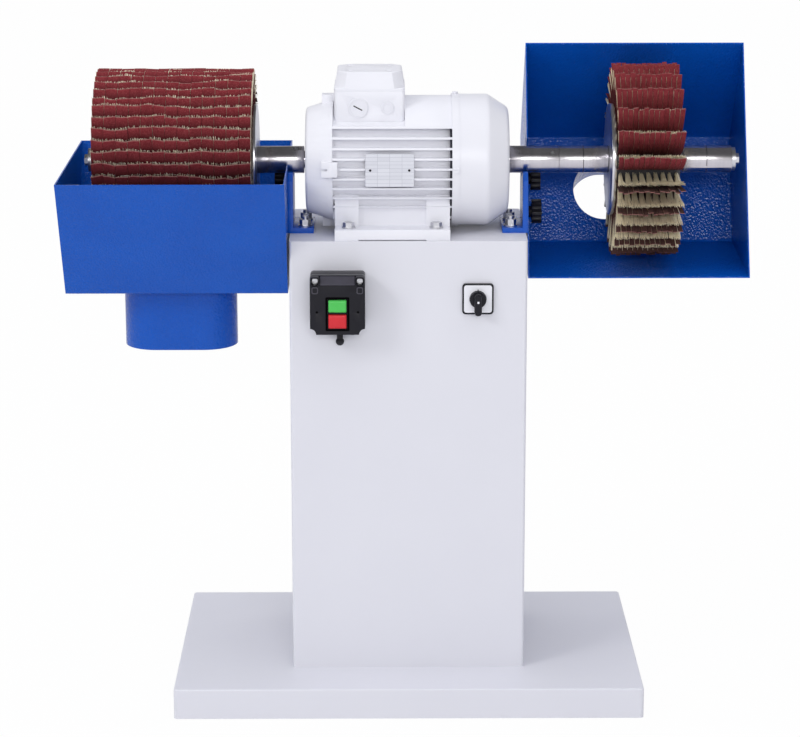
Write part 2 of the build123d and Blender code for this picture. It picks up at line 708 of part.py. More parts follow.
def drive_end_shield():
    """Coned shield at the drive end with the bearing seat and four lugs."""
    bore = SHAFT_BEARING_RADIUS + SHAFT_ROOM
    seat = BEARING_RADIUS + SEAT_CLEARANCE
    wall = SHIELD_FACE + SHIELD_WALL
    seat_end = DRIVE_BEARING + BEARING_WIDTH
    shield = turned(
        [
            (SHIELD_FACE, bore),
            (SHIELD_FACE, SHIELD_FACE_RADIUS),
            (HOUSING_START, SHIELD_RIM_RADIUS),
            (HOUSING_START, SHIELD_RIM_RADIUS - SHIELD_RIM),
            (wall, SHIELD_FACE_RADIUS - SHIELD_RIM),
            (wall, SHIELD_HUB_RADIUS),
            (seat_end, SHIELD_HUB_RADIUS),
            (seat_end, seat),
            (DRIVE_BEARING, seat),
            (DRIVE_BEARING, bore),
        ],
        rounds=[(1, SHIELD_ROUND)],
    )
    start = HOUSING_START - SHIELD_LUG
    lugs = on_axis(Part() + shield_bosses(start, HOUSING_START))
    inside = turned(
        [
            (start, 0),
            (start, SHIELD_FACE_RADIUS),
            (HOUSING_START, SHIELD_RIM_RADIUS - SHIELD_RIM / 2),
            (HOUSING_START, 0),
        ]
    )
    shield += lugs - inside
    for hole in boss_screw_holes(start - OVERRUN, HOUSING_START + OVERRUN, SCREW_RADIUS + BOLT_CLEARANCE):
        shield -= hole
    recess_end = HOUSING_START - SCREW_LENGTH / 2
    for hole in boss_screw_holes(start - OVERRUN, recess_end, SCREW_HEAD_RADIUS + BOLT_CLEARANCE):
        shield -= hole
    return shield


def fan_end_shield():
    """Shield at the fan end: the cowl slides over its rim."""
    bore = SHAFT_BEARING_RADIUS + SHAFT_ROOM
    seat = BEARING_RADIUS + SEAT_CLEARANCE
    rim = COWL_RADIUS - COWL_SHEET - SEAT_CLEARANCE
    rim_end = HOUSING_END + FAN_SHIELD_RIM
    seat_end = FAN_BEARING + BEARING_WIDTH
    shield = turned(
        [
            (HOUSING_END, STATOR_RADIUS),
            (HOUSING_END, rim),
            (rim_end, rim),
            (rim_end, SHIELD_HUB_RADIUS),
            (seat_end, SHIELD_HUB_RADIUS),
            (seat_end, seat),
            (FAN_BEARING, seat),
            (FAN_BEARING, bore),
            (FAN_SHIELD_FACE, bore),
            (FAN_SHIELD_FACE, STATOR_RADIUS),
        ]
    )
    for place in cowl_screw_places():
        shield -= place * Cylinder(SCREW_RADIUS + SEAT_CLEARANCE, 2 * SCREW_LENGTH)
    return shield


def cowl_screw_places():
    """Seats of the four screws that hold the cowl, head out along the radius."""
    x = HOUSING_END + COWL_BEAD_LENGTH / 2
    seat = Pos(x, 0, COWL_RADIUS + COWL_BEAD)
    return [Pos(0, AXIS_Y, AXIS_Z) * Rot(quarter * 90, 0, 0) * seat for quarter in range(4)]


def lid_screw_places():
    """Seats of the four screws in the lid of the terminal box."""
    across = TERMINAL_DEPTH / 2 - LID_SCREW_INSET
    along = TERMINAL_LENGTH / 2 - LID_SCREW_INSET
    seat = AXIS_Z + TERMINAL_SPLIT + LID_HEIGHT - LID_SCREW_SINK
    return [
        (TERMINAL_CENTRE + side * along, AXIS_Y + back * across, seat) for side in (-1, 1) for back in (-1, 1)
    ]


def motor_screws():
    """Screws of the drive end shield, of the cowl and of the terminal lid."""
    start = HOUSING_START - SCREW_LENGTH / 2
    shield = Pos(start, 0, boss_screw_radius()) * Rot(0, -90, 0) * pan_screw()
    pieces = [on_axis(shield, quarter * 90) for quarter in range(4)]
    pieces += [place * pan_screw() for place in cowl_screw_places()]
    pieces += [Pos(*place) * pan_screw() for place in lid_screw_places()]
    return Compound(pieces)


def stator_core():
    """Laminated stator ring pressed into the housing."""
    return ring(STATOR_RADIUS, STATOR_BORE, CORE_START, CORE_END)


def stator_windings():
    """Winding heads at both ends of the stator."""
    heads = [
        ring(WINDING_OUTER, WINDING_INNER, CORE_START - WINDING_LENGTH, CORE_START),
        ring(WINDING_OUTER, WINDING_INNER, CORE_END, CORE_END + WINDING_LENGTH),
    ]
    return Compound(heads)


def bearing_outer_rings():
    """Outer rings of both ball bearings."""
    pieces = []
    for start in (DRIVE_BEARING, FAN_BEARING):
        pieces.append(ring(BEARING_RADIUS, BEARING_OUTER_RACE, start, start + BEARING_WIDTH))
    return Compound(pieces)


def bearing_inner_rings():
    """Inner rings of both ball bearings with their balls."""
    pieces = []
    pitch = (BEARING_OUTER_RACE + BEARING_INNER_RACE) / 2
    ball = (BEARING_OUTER_RACE - BEARING_INNER_RACE) / 2 - SEAT_CLEARANCE
    bore = SHAFT_BEARING_RADIUS + SEAT_CLEARANCE
    for start in (DRIVE_BEARING, FAN_BEARING):
        pieces.append(ring(BEARING_INNER_RACE, bore, start, start + BEARING_WIDTH))
        for index in range(BEARING_BALLS):
            seat = Pos(start + BEARING_WIDTH / 2, 0, pitch) * Sphere(ball)
            pieces.append(on_axis(seat, index * 360 / BEARING_BALLS))
    return Compound(pieces)


def motor_shaft():
    """Double-ended motor shaft with its steps."""
    drive_step = DRIVE_BEARING + BEARING_WIDTH
    return turned(
        [
            (SHAFT_LEFT, 0),
            (SHAFT_LEFT, SHAFT_RADIUS),
            (SHIELD_FACE, SHAFT_RADIUS),
            (SHIELD_FACE, SHAFT_BEARING_RADIUS),
            (drive_step, SHAFT_BEARING_RADIUS),
            (drive_step, SHAFT_CORE_RADIUS),
            (FAN_SHIELD_FACE, SHAFT_CORE_RADIUS),
            (FAN_SHIELD_FACE, SHAFT_BEARING_RADIUS),
            (FAN_BEARING + BEARING_WIDTH, SHAFT_BEARING_RADIUS),
            (FAN_BEARING + BEARING_WIDTH, SHAFT_RADIUS),
            (SHAFT_RIGHT, SHAFT_RADIUS),
            (SHAFT_RIGHT, 0),
        ]
    )


def rotor_core():
    """Cage rotor on the shaft."""
    return ring(STATOR_BORE - AIR_GAP, SHAFT_CORE_RADIUS + SEAT_CLEARANCE, CORE_START, CORE_END)


def cooling_fan():
    """Radial fan: hub, back disc and flat blades."""
    bore = SHAFT_RADIUS + SEAT_CLEARANCE
    end = FAN_START + FAN_LENGTH
    fan = ring(FAN_HUB_RADIUS, bore, FAN_START, end) + ring(FAN_RADIUS, bore, FAN_START, FAN_START + FAN_DISC)
    half = FAN_BLADE / 2
    inner = (bore + FAN_HUB_RADIUS) / 2
    blade = block(FAN_START, end, -half, half, inner, FAN_RADIUS - half)
    fan += [on_axis(blade, index * 360 / FAN_BLADES) for index in range(FAN_BLADES)]
    return fan


def fan_cowl():
    """Drawn sheet cowl with a coned end and an air grille."""
    bead_end = HOUSING_END + COWL_BEAD_LENGTH
    cone = HOUSING_END + COWL_STRAIGHT
    inner = COWL_RADIUS - COWL_SHEET
    cowl = turned(
        [
            (HOUSING_END, inner),
            (HOUSING_END, COWL_RADIUS + COWL_BEAD),
            (bead_end, COWL_RADIUS + COWL_BEAD),
            (bead_end, COWL_RADIUS),
            (cone, COWL_RADIUS),
            (COWL_END, COWL_END_RADIUS),
            (COWL_END, COWL_HOLE_RADIUS),
            (COWL_END - COWL_SHEET, COWL_HOLE_RADIUS),
            (COWL_END - COWL_SHEET, COWL_END_RADIUS - COWL_SHEET),
            (cone - COWL_SHEET / 2, inner),
        ],
        rounds=[
            (4, COWL_ROUND + COWL_SHEET),
            (5, COWL_ROUND),
            (8, COWL_ROUND - COWL_SHEET),
            (9, COWL_ROUND),
        ],
    )
    slot_low = COWL_HOLE_RADIUS + COWL_SLOT_MARGIN
    slot_high = COWL_END_RADIUS - COWL_SLOT_MARGIN
    half = COWL_SLOT_WIDTH / 2
    slot = block(COWL_END - COWL_SHEET - OVERRUN, COWL_END + OVERRUN, -half, half, slot_low, slot_high)
    cowl -= [on_axis(slot, index * 360 / COWL_SLOTS) for index in range(COWL_SLOTS)]
    for place in cowl_screw_places():
        cowl -= place * Cylinder(SCREW_RADIUS + BOLT_CLEARANCE, 2 * SCREW_LENGTH)
    return cowl


def plug_places():
    """Places of the blanking plugs, as place along X and radius."""
    return [
        (TERMINAL_START + PLUG_LARGE_INSET, PLUG_LARGE_RADIUS),
        (TERMINAL_START + PLUG_SMALL_INSET, PLUG_SMALL_RADIUS),
    ]


def terminal_box():
    """Lower half of the terminal box with corner posts and two cable entries."""
    half = TERMINAL_DEPTH / 2 - TERMINAL_WALL
    floor = BARREL_RADIUS + TERMINAL_FLOOR
    room = block(
        TERMINAL_START + TERMINAL_WALL,
        TERMINAL_END - TERMINAL_WALL,
        -half,
        half,
        floor,
        TERMINAL_SPLIT + OVERRUN,
    )
    box = terminal_body() - on_axis(room)
    split = AXIS_Z + TERMINAL_SPLIT
    for x, y, _ in lid_screw_places():
        box += upright_pin(TERMINAL_POST, x, y, AXIS_Z + floor - TERMINAL_FLOOR / 2, split)
    wall = AXIS_Y - TERMINAL_DEPTH / 2
    for x, radius in plug_places():
        entry = radius - PLUG_STEP + SEAT_CLEARANCE
        box -= deep_pin(entry, x, AXIS_Z + PLUG_HEIGHT, wall - OVERRUN, wall + TERMINAL_WALL + OVERRUN)
    return box


def dome_outline(length, depth):
    """A rectangle with its corners cut off."""
    return chamfer(Rectangle(length, depth).vertices(), LID_CORNER)


def lid_dome(inset):
    """Block from Z zero with cut corners whose sides draw in towards its top, drawn in by the wall."""
    length = TERMINAL_LENGTH - 2 * inset
    depth = TERMINAL_DEPTH - 2 * inset
    high = Pos(0, 0, LID_HEIGHT - inset) * dome_outline(length - 2 * LID_TAPER, depth - 2 * LID_TAPER)
    return loft([dome_outline(length, depth), high])


def terminal_lid():
    """Lid of the terminal box: a rim, a dome with cut corners and pillars for its sunk screws."""
    outer = fillet(lid_dome(0).edges().group_by(Axis.Z)[-1], LID_ROUND)
    rim = rounded_block(TERMINAL_LENGTH, TERMINAL_DEPTH, LID_RIM, TERMINAL_ROUND)
    base = AXIS_Z + TERMINAL_SPLIT
    lid = Pos(TERMINAL_CENTRE, AXIS_Y, base) * (rim + outer - lid_dome(LID_WALL))
    for x, y, seat in lid_screw_places():
        top = seat + LID_SCREW_SINK
        lid += upright_pin(TERMINAL_POST, x, y, base, top - LID_ROUND)
        lid -= upright_pin(SCREW_HEAD_RADIUS + BOLT_CLEARANCE, x, y, seat, top + OVERRUN)
        lid -= upright_pin(SCREW_RADIUS + SEAT_CLEARANCE, x, y, seat - SCREW_LENGTH, seat + OVERRUN)
    return lid


def terminal_plugs():
    """Blanking plugs in the two cable entries."""
    wall = AXIS_Y - TERMINAL_DEPTH / 2
    pieces = []
    for x, radius in plug_places():
        flange = deep_pin(radius, x, AXIS_Z + PLUG_HEIGHT, wall - PLUG_FLANGE, wall)
        shank = deep_pin(radius - PLUG_STEP, x, AXIS_Z + PLUG_HEIGHT, wall, wall + TERMINAL_WALL)
        pieces.append(flange + shank)
    return Compound(pieces)


def terminal_block():
    """Connection block on the floor of the terminal box, with six studs."""
    floor = AXIS_Z + BARREL_RADIUS + TERMINAL_FLOOR
    top = floor + BLOCK_HEIGHT
    body = block(
        TERMINAL_CENTRE - BLOCK_LENGTH / 2,
        TERMINAL_CENTRE + BLOCK_LENGTH / 2,
        AXIS_Y - BLOCK_DEPTH / 2,
        AXIS_Y + BLOCK_DEPTH / 2,
        floor,
        top,
    )
    for column in (-1, 0, 1):
        for row in (-1, 1):
            x = TERMINAL_CENTRE + column * STUD_PITCH
            body += upright_pin(STUD_RADIUS, x, AXIS_Y + row * STUD_PITCH / 2, top, top + STUD_HEIGHT)
    return body


def rating_plate():
    """Bare plate on the trimmed fins at the front."""
    face = AXIS_Y - PLATE_SEAT
    middle = AXIS_Z - PLATE_DROP
    return block(
        PLATE_CENTRE - PLATE_LENGTH / 2,
        PLATE_CENTRE + PLATE_LENGTH / 2,
        face - PLATE_THICKNESS,
        face,
        middle - PLATE_HEIGHT / 2,
        middle + PLATE_HEIGHT / 2,
    )


def motor_foot_bolts():
    """Bolts and washers of the motor feet."""
    pieces = []
    seat = CABINET_TOP + FOOT_THICKNESS
    for x, y in foot_bolt_places():
        head = Pos(x, y, seat + WASHER_THICKNESS) * hexagon(BOLT_FLATS, BOLT_HEAD)
        shank = upright_pin(BOLT_RADIUS, x, y, CABINET_TOP - TOP_PLATE - BOLT_TAIL, seat + WASHER_THICKNESS)
        pieces.append(head + shank)
        pieces.append(Pos(x, y, seat) * washer())
    return Compound(pieces)


def arbor(start, sleeve, end, shaft_end, way):
    """Sleeve over the motor shaft, then a mandrel with a tapped end. Way is -1 to the left, else 1."""
    bore = SHAFT_RADIUS + SEAT_CLEARANCE
    tap = END_BOLT_RADIUS + SEAT_CLEARANCE
    step = start + way * sleeve
    bottom = shaft_end + way * BORE_BOTTOM_GAP
    tap_end = end - way * (END_BOLT_DEPTH + BORE_BOTTOM_GAP)
    return turned(
        [
            (start, bore),
            (start, ARBOR_RADIUS),
            (step, ARBOR_RADIUS),
            (step, MANDREL_RADIUS),
            (end, MANDREL_RADIUS),
            (end, tap),
            (tap_end, tap),
            (tap_end, 0),
            (bottom, 0),
            (bottom, bore),
        ]
    )


def grub_places():
    """Places along X and angles above the front of the two grub screws."""
    return [
        (LEFT_ARBOR - LEFT_GRUB_INSET, LEFT_GRUB_ANGLE),
        (RIGHT_ARBOR + RIGHT_GRUB_INSET, RIGHT_GRUB_ANGLE),
    ]


def grub_bar(x, angle, radius, low, high):
    """A bar along a radius of the shaft line, at an angle above the front."""
    bar = Pos(x, 0, (low + high) / 2) * Cylinder(radius, high - low)
    return on_axis(bar, 90 - angle)


def left_arbor():
    """Arbor of the roller."""
    x, angle = grub_places()[0]
    body = arbor(LEFT_ARBOR, LEFT_SLEEVE, MANDREL_LEFT, SHAFT_LEFT, -1)
    return body - grub_bar(x, angle, GRUB_RADIUS, SHAFT_RADIUS - SEAT_CLEARANCE, ARBOR_RADIUS + OVERRUN)


def right_arbor():
    """Arbor of the wheel."""
    x, angle = grub_places()[1]
    body = arbor(RIGHT_ARBOR, RIGHT_SLEEVE, MANDREL_END, SHAFT_RIGHT, 1)
    return body - grub_bar(x, angle, GRUB_RADIUS, SHAFT_RADIUS - SEAT_CLEARANCE, ARBOR_RADIUS + OVERRUN)


def end_bolt(face, way):
    """Bolt and washer that close the end of a mandrel."""
    out = face + way * END_WASHER
    disc = ring(END_WASHER_RADIUS, END_BOLT_RADIUS + BOLT_CLEARANCE, *sorted((face, out)))
    shank = rod(END_BOLT_RADIUS, *sorted((face - way * END_BOLT_DEPTH, out)))
    head = on_axis(Pos(out, 0, 0) * Rot(0, way * 90, 0) * hexagon(BOLT_FLATS, END_BOLT_HEAD))
    return [disc, head + shank]


def arbor_fasteners():
    """Grub screws of the sleeves and the bolts and washers at the mandrel ends."""
    pieces = end_bolt(MANDREL_LEFT, -1) + end_bolt(MANDREL_END, 1)
    for x, angle in grub_places():
        radius = GRUB_RADIUS - SEAT_CLEARANCE
        pieces.append(grub_bar(x, angle, radius, SHAFT_RADIUS + 2 * SEAT_CLEARANCE, ARBOR_RADIUS - GRUB_SINK))
    return Compound(pieces)


def wheel_spacers():
    """Spacer rings on both sides of the wheel and at the outer end of the roller."""
    bore = MANDREL_RADIUS + SEAT_CLEARANCE
    pieces = [ring(SPACER_RADIUS, bore, MANDREL_LEFT, ROLLER_END)]
    for place, lengths in ((INNER_SPACER_START, INNER_SPACERS), (OUTER_SPACER_START, OUTER_SPACERS)):
        for length in lengths:
            pieces.append(ring(SPACER_RADIUS, bore, place, place + length))
            place += length
    return Compound(pieces)


def roller_flange():
    """Disc between the sleeve and the roller."""
    return ring(ROLLER_FLANGE_RADIUS, MANDREL_RADIUS + SEAT_CLEARANCE, ROLLER_START, ROLLER_FLANGE_FACE)


def wheel_flanges():
    """Disc on the inner side of the wheel and coned collar on its outer side."""
    bore = MANDREL_RADIUS + SEAT_CLEARANCE
    disc = ring(WHEEL_FLANGE_RADIUS, bore, WHEEL_FLANGE_START, WHEEL_START)
    collar = turned(
        [
            (WHEEL_END, bore),
            (WHEEL_END, WHEEL_COLLAR_RADIUS),
            (OUTER_SPACER_START, SPACER_RADIUS),
            (OUTER_SPACER_START, bore),
        ]
    )
    return Compound([disc, collar])


def drum(start, end, radius):
    """Aluminium drum: a hub on the mandrel, one web and a rim."""
    bore = MANDREL_RADIUS + SEAT_CLEARANCE
    middle = (start + end) / 2
    web = ring(radius - DRUM_RIM / 2, bore + DRUM_HUB / 2, middle - DRUM_WEB / 2, middle + DRUM_WEB / 2)
    return ring(bore + DRUM_HUB, bore, start, end) + web + ring(radius, radius - DRUM_RIM, start, end)


def leaned(shape, root, lean):
    """Stand a shape on a root radius and lean its tip away from the turning sense."""
    return Pos(0, 0, root) * Rot(-lean, 0, 0) * shape


def strip_length(root, tip, lean):
    """Length along a leaning strip between two radii."""
    along = root * math.cos(math.radians(lean))
    return math.sqrt(along**2 + tip**2 - root**2) - along


def slashed_strip(length, width, fingers):
    """Flat abrasive strip slashed into fingers, root on Z zero, from X zero, thickness along Y."""
    pitch = width / fingers
    floor = length * (1 - SLIT_SHARE)
    points = [(0, 0), (0, length)]
    for index in range(1, fingers):
        cut = index * pitch
        points += [
            (cut - STRIP_SLIT / 2, length),
            (cut - STRIP_SLIT / 2, floor),
            (cut + STRIP_SLIT / 2, floor),
            (cut + STRIP_SLIT / 2, length),
        ]
    points += [(width, length), (width, 0)]
    face = make_face(Polyline([(x, 0, z) for x, z in points], close=True))
    return extrude(face, STRIP_THICKNESS / 2, dir=(0, 1, 0), both=True)


def strips(start, width, rows, fingers, core, backing, tip, lean):
    """All abrasive strips of one working body, their roots in the slots of the backing."""
    root = core + backing - STRIP_ROOT
    blank = slashed_strip(strip_length(root, tip, lean), width - 2 * STRIP_END_ROOM, fingers)
    one = Pos(start + STRIP_END_ROOM, 0, 0) * leaned(blank, root, lean)
    return Compound([on_axis(one, row * 360 / rows) for row in range(rows)])


def brush(start, width, rows, tufts, core, backing, tip, lean, offset, root_depth, tip_depth, tuft_width):
    """Brush of one working body: a slotted backing ring with rows of four-sided tufts, fused."""
    seat = core + SEAT_CLEARANCE
    rim = core + backing
    root = rim - STRIP_ROOT
    angle = math.radians(lean)
    foot = (STRIP_ROOT - TUFT_SINK + offset * math.sin(angle)) / math.cos(angle)
    reach = strip_length(root, tip - TUFT_SHORTFALL, lean)
    pitch = width / tufts
    low = Pos(0, 0, foot) * Rectangle(tuft_width * TUFT_ROOT_SHARE, root_depth)
    tuft = loft([low, Pos(0, 0, reach) * Rectangle(tuft_width, tip_depth)])
    half = STRIP_THICKNESS / 2 + SLIDE_GAP
    slot = block(start - OVERRUN, start + width + OVERRUN, -half, half, -SLIDE_GAP, STRIP_ROOT * 2)
    slots = []
    strands = []
    for row in range(rows):
        turn = row * 360 / rows
        slots.append(on_axis(leaned(slot, root, lean), turn))
        for index in range(tufts):
            x = start + (index + 1 / 2) * pitch
            strands.append(on_axis(leaned(Pos(x, offset, 0) * tuft, root, lean), turn))
    backing_ring = ring(rim, seat, start, start + width) - slots
    return backing_ring + strands


def roller_core():
    """Drum of the roller."""
    return drum(ROLLER_END, ROLLER_START, ROLLER_CORE_RADIUS)


def roller_abrasive_strips():
    """Strips of the roller."""
    return strips(
        ROLLER_END,
        ROLLER_LENGTH,
        ROLLER_ROWS,
        ROLLER_FINGERS,
        ROLLER_CORE_RADIUS,
        ROLLER_BACKING,
        ROLLER_RADIUS,
        ROLLER_LEAN,
    )


def roller_bristles():
    """Brush behind the strips of the roller."""
    return brush(
        ROLLER_END,
        ROLLER_LENGTH,
        ROLLER_ROWS,
        ROLLER_TUFTS,
        ROLLER_CORE_RADIUS,
        ROLLER_BACKING,
        ROLLER_RADIUS,
        ROLLER_LEAN,
        ROLLER_TUFT_OFFSET,
        ROLLER_TUFT_ROOT,
        ROLLER_TUFT_TIP,
        ROLLER_TUFT_WIDTH,
    )


def wheel_core():
    """Drum of the wheel."""
    return drum(WHEEL_START, WHEEL_END, WHEEL_CORE_RADIUS)


def wheel_abrasive_strips():
    """Strips of the wheel."""
    return strips(
        WHEEL_START,
        WHEEL_LENGTH,
        WHEEL_ROWS,
        WHEEL_FINGERS,
        WHEEL_CORE_RADIUS,
        WHEEL_BACKING,
        WHEEL_RADIUS,
        WHEEL_LEAN,
    )


def wheel_bristles():
    """Brush behind the strips of the wheel."""
    return brush(
        WHEEL_START,
        WHEEL_LENGTH,
        WHEEL_ROWS,
        WHEEL_TUFTS,
        WHEEL_CORE_RADIUS,
        WHEEL_BACKING,
        WHEEL_RADIUS,
        WHEEL_LEAN,
        WHEEL_TUFT_OFFSET,
        WHEEL_TUFT_ROOT,
        WHEEL_TUFT_TIP,
        WHEEL_TUFT_WIDTH,
    )


def hood_section(inset, rise):
    """Cross section of a hood about the shaft line, drawn in by the sheet and open upwards by rise."""
    run = (HOOD_RIM - HOOD_FLOOR) / 2
    slope = run / HOOD_DEPTH
    side = inset * math.hypot(1, slope)
    rim = HOOD_RIM / 2 - side + rise * slope
    floor = HOOD_FLOOR / 2 - side + inset * slope
    low = -HOOD_DEPTH + inset
    face = make_face(Polyline((-rim, rise), (-floor, low), (floor, low), (rim, rise), close=True))
    return fillet(face.vertices().group_by(Axis.Y)[0], HOOD_BEND - inset)


def plate_across(face, start, thickness):
    """Sheet cut to a face in the plane across the shaft, laid at a place along X."""
    return extrude(Plane.YZ.offset(start) * face, thickness)


def hood_wrap():
    """Front, floor and back of a hood, bent from one sheet, with the spigot hole."""
    start = HOOD_NEAR + HOOD_SHEET
    length = HOOD_WIDTH - 2 * HOOD_SHEET
    wrap = plate_across(hood_section(0, -HOOD_RIM_DROP), start, length)
    wrap -= plate_across(hood_section(HOOD_SHEET, OVERRUN), start - OVERRUN, length + 2 * OVERRUN)
    hole = extrude(spigot_outline(SPIGOT_SHEET), HOOD_SHEET + OVERRUN, both=True)
    return wrap - Pos(0, 0, -HOOD_DEPTH) * hole


def hood_near_wall():
    """Wall against the bracket: a notch for the sleeve and two curved slots for the clamp studs."""
    face = hood_section(0, -HOOD_RIM_DROP) - Circle(HOOD_NOTCH_RADIUS)
    for back, up in knob_places():
        polar = math.degrees(math.atan2(up, back))
        path = CenterArc((0, 0), math.hypot(back, up), polar - HOOD_TILT_MAX, HOOD_TILT_MAX - HOOD_TILT_MIN)
        face -= SlotArc(path, 2 * (KNOB_STUD_RADIUS + KNOB_SLOT_ROOM))
    return plate_across(face, HOOD_NEAR, HOOD_SHEET)


def hood_far_wall():
    """Plain end wall."""
    return plate_across(hood_section(0, -HOOD_RIM_DROP), HOOD_FAR - HOOD_SHEET, HOOD_SHEET)


def spigot_outline(inset):
    """Flat oval of the duct stub in its place on the hood floor, drawn in by the sheet."""
    return Pos(HOOD_CENTRE, 0) * SlotOverall(SPIGOT_WIDTH - 2 * inset, SPIGOT_DEPTH - 2 * inset)


def hood_spigot():
    """Duct stub under the floor of the hood."""
    tube = spigot_outline(0) - spigot_outline(SPIGOT_SHEET)
    return Pos(0, 0, -HOOD_DEPTH - SPIGOT_LENGTH) * extrude(tube, SPIGOT_LENGTH)


def right_hood(piece):
    """A hood piece at the right end, tilted towards the operator."""
    return on_axis(piece, RIGHT_HOOD_TILT)


def left_hood(piece):
    """A hood piece at the left end, opening upwards and leaning a little to the operator."""
    return on_axis(mirror(piece, about=Plane.YZ), LEFT_HOOD_TILT)


def star_knob():
    """Lobed clamp knob with its collar and stud, against the shaft centre at the right end."""
    scallop = KNOB_RADIUS * KNOB_SCALLOP_SHARE
    face = Circle(KNOB_RADIUS) - PolarLocations(KNOB_RADIUS, KNOB_LOBES) * Circle(scallop)
    seat = HOOD_NEAR + HOOD_SHEET + SLIDE_GAP
    head = plate_across(face, seat + KNOB_COLLAR, KNOB_HEAD)
    collar = plate_across(Circle(KNOB_COLLAR_RADIUS), seat, KNOB_COLLAR)
    stud_start = BRACKET_FACE - BRACKET_PLATE
    stud = plate_across(Circle(KNOB_STUD_RADIUS), stud_start, seat - stud_start)
    return head + collar + stud


def knob_at(place, left):
    """A star knob on one of its two places, at the left or the right end."""
    back, up = knob_places()[place]
    knob = Pos(0, back, up) * star_knob()
    if left:
        knob = mirror(knob, about=Plane.YZ)
    return on_axis(knob)


def starter_screw_places():
    """Places of the two cover screws in the upper corners."""
    across = STARTER_WIDTH / 2 - STARTER_SCREW_INSET
    z = STARTER_Z + STARTER_HEIGHT / 2 - STARTER_SCREW_INSET
    return [(STARTER_X + side * across, z) for side in (-1, 1)]


def starter_pin_holes():
    """Small blind holes beside the buttons."""
    across = STARTER_WIDTH / 2 - STARTER_PIN_INSET
    z = STARTER_Z - STARTER_PIN_DROP
    floor = STARTER_FRONT + STARTER_WALL / 2
    return [
        deep_pin(STARTER_PIN_RADIUS, STARTER_X + side * across, z, STARTER_FRONT - OVERRUN, floor)
        for side in (-1, 1)
    ]


def starter_shell(inset, front, back):
    """A block of the starter's outline, drawn in all round, with its lower corners scooped out."""
    face = RectangleRounded(STARTER_WIDTH - 2 * inset, STARTER_HEIGHT - 2 * inset, STARTER_CORNER)
    for side in (-1, 1):
        face -= Pos(side * STARTER_WIDTH / 2, -STARTER_HEIGHT / 2) * Circle(STARTER_SCOOP + inset)
    return Pos(STARTER_X, back, STARTER_Z) * Rot(90, 0, 0) * extrude(face, back - front)


def starter_posts(start, end, radius):
    """Bars on the screw lines of the starter."""
    return [deep_pin(radius, x, z, start, end) for x, z in starter_screw_places()]


def gland_place():
    """Place of the gland along X, in depth, and its top."""
    return STARTER_X + GLAND_X_OFFSET, STARTER_BACK + GLAND_DEPTH, STARTER_Z - STARTER_HEIGHT / 2


def starter_base():
    """Rear half of the starter on the cabinet front, with a cable hole and the gland hole."""
    base = starter_shell(0, STARTER_BACK, FRONT)
    base -= starter_shell(STARTER_WALL, STARTER_BACK - OVERRUN, FRONT - STARTER_WALL)
    base += starter_posts(STARTER_BACK, FRONT - STARTER_WALL / 2, SCREW_HEAD_RADIUS)
    base -= starter_posts(STARTER_BACK - OVERRUN, STARTER_BACK + STARTER_SCREW, SCREW_RADIUS + SEAT_CLEARANCE)
    inside = FRONT - STARTER_WALL
    base -= deep_pin(STARTER_CABLE_RADIUS, STARTER_X, STARTER_Z, inside - OVERRUN, FRONT + OVERRUN)
    x, y, z = gland_place()
    return base - upright_pin(GLAND_RADIUS + SEAT_CLEARANCE, x, y, z - OVERRUN, z + STARTER_WALL + OVERRUN)


def button_places():
    """Middle height and height of the start and stop buttons."""
    return (STARTER_Z + START_RISE, START_HEIGHT), (STARTER_Z - STOP_DROP, STOP_HEIGHT)


def button_block(index, widen, front, back):
    """A block of one button's outline, widened all round, between two places in depth."""
    middle, height = button_places()[index]
    half = BUTTON_WIDTH / 2 + widen
    rise = height / 2 + widen
    return block(STARTER_X - half, STARTER_X + half, front, back, middle - rise, middle + rise)


def starter_slope(drop):
    """Wedge that cuts the sloped band along the top of the starter, lowered by drop."""
    top = STARTER_Z + STARTER_HEIGHT / 2 - drop
    outline = Polyline(
        (STARTER_FRONT, top - STARTER_SLOPE),
        (STARTER_FRONT - OVERRUN, top + STARTER_SLOPE),
        (STARTER_FRONT + STARTER_SLOPE, top + STARTER_SLOPE),
        (STARTER_FRONT + STARTER_SLOPE, top),
        close=True,
    )
    wedge = extrude(Plane.YZ * make_face(outline), STARTER_WIDTH, both=True)
    return Pos(STARTER_X, 0, 0) * wedge


def starter_cover():
    """Front half of the starter: a sloped band along the top, sunk screws and two button windows."""
    cover = starter_shell(0, STARTER_FRONT, STARTER_BACK) - starter_slope(0)
    room = starter_shell(STARTER_WALL, STARTER_FRONT + STARTER_WALL, STARTER_BACK + OVERRUN)
    room -= starter_slope(2 * STARTER_WALL)
    room -= starter_posts(STARTER_FRONT, STARTER_BACK + OVERRUN, STARTER_SCREW_INSET)
    cover -= room
    cover -= starter_posts(STARTER_FRONT, STARTER_BACK + OVERRUN, SCREW_RADIUS + BOLT_CLEARANCE)
    recess = STARTER_BACK - STARTER_SEAT
    cover -= starter_posts(STARTER_FRONT - OVERRUN, recess, SCREW_HEAD_RADIUS + BOLT_CLEARANCE)
    cover -= starter_pin_holes()
    inside = STARTER_FRONT + STARTER_WALL
    for index in range(2):
        cover -= button_block(index, BUTTON_ROOM, STARTER_FRONT - OVERRUN, inside + OVERRUN)
    return cover


def starter_screws():
    """Screws of the starter cover."""
    seat = STARTER_BACK - STARTER_SEAT
    screw = Rot(90, 0, 0) * pan_screw(STARTER_SCREW)
    return Compound([Pos(x, seat, z) * screw for x, z in starter_screw_places()])


def button_back():
    """Rear face of the button flanges at rest."""
    return STARTER_FRONT + STARTER_WALL + SLIDE_GAP + BUTTON_FLANGE


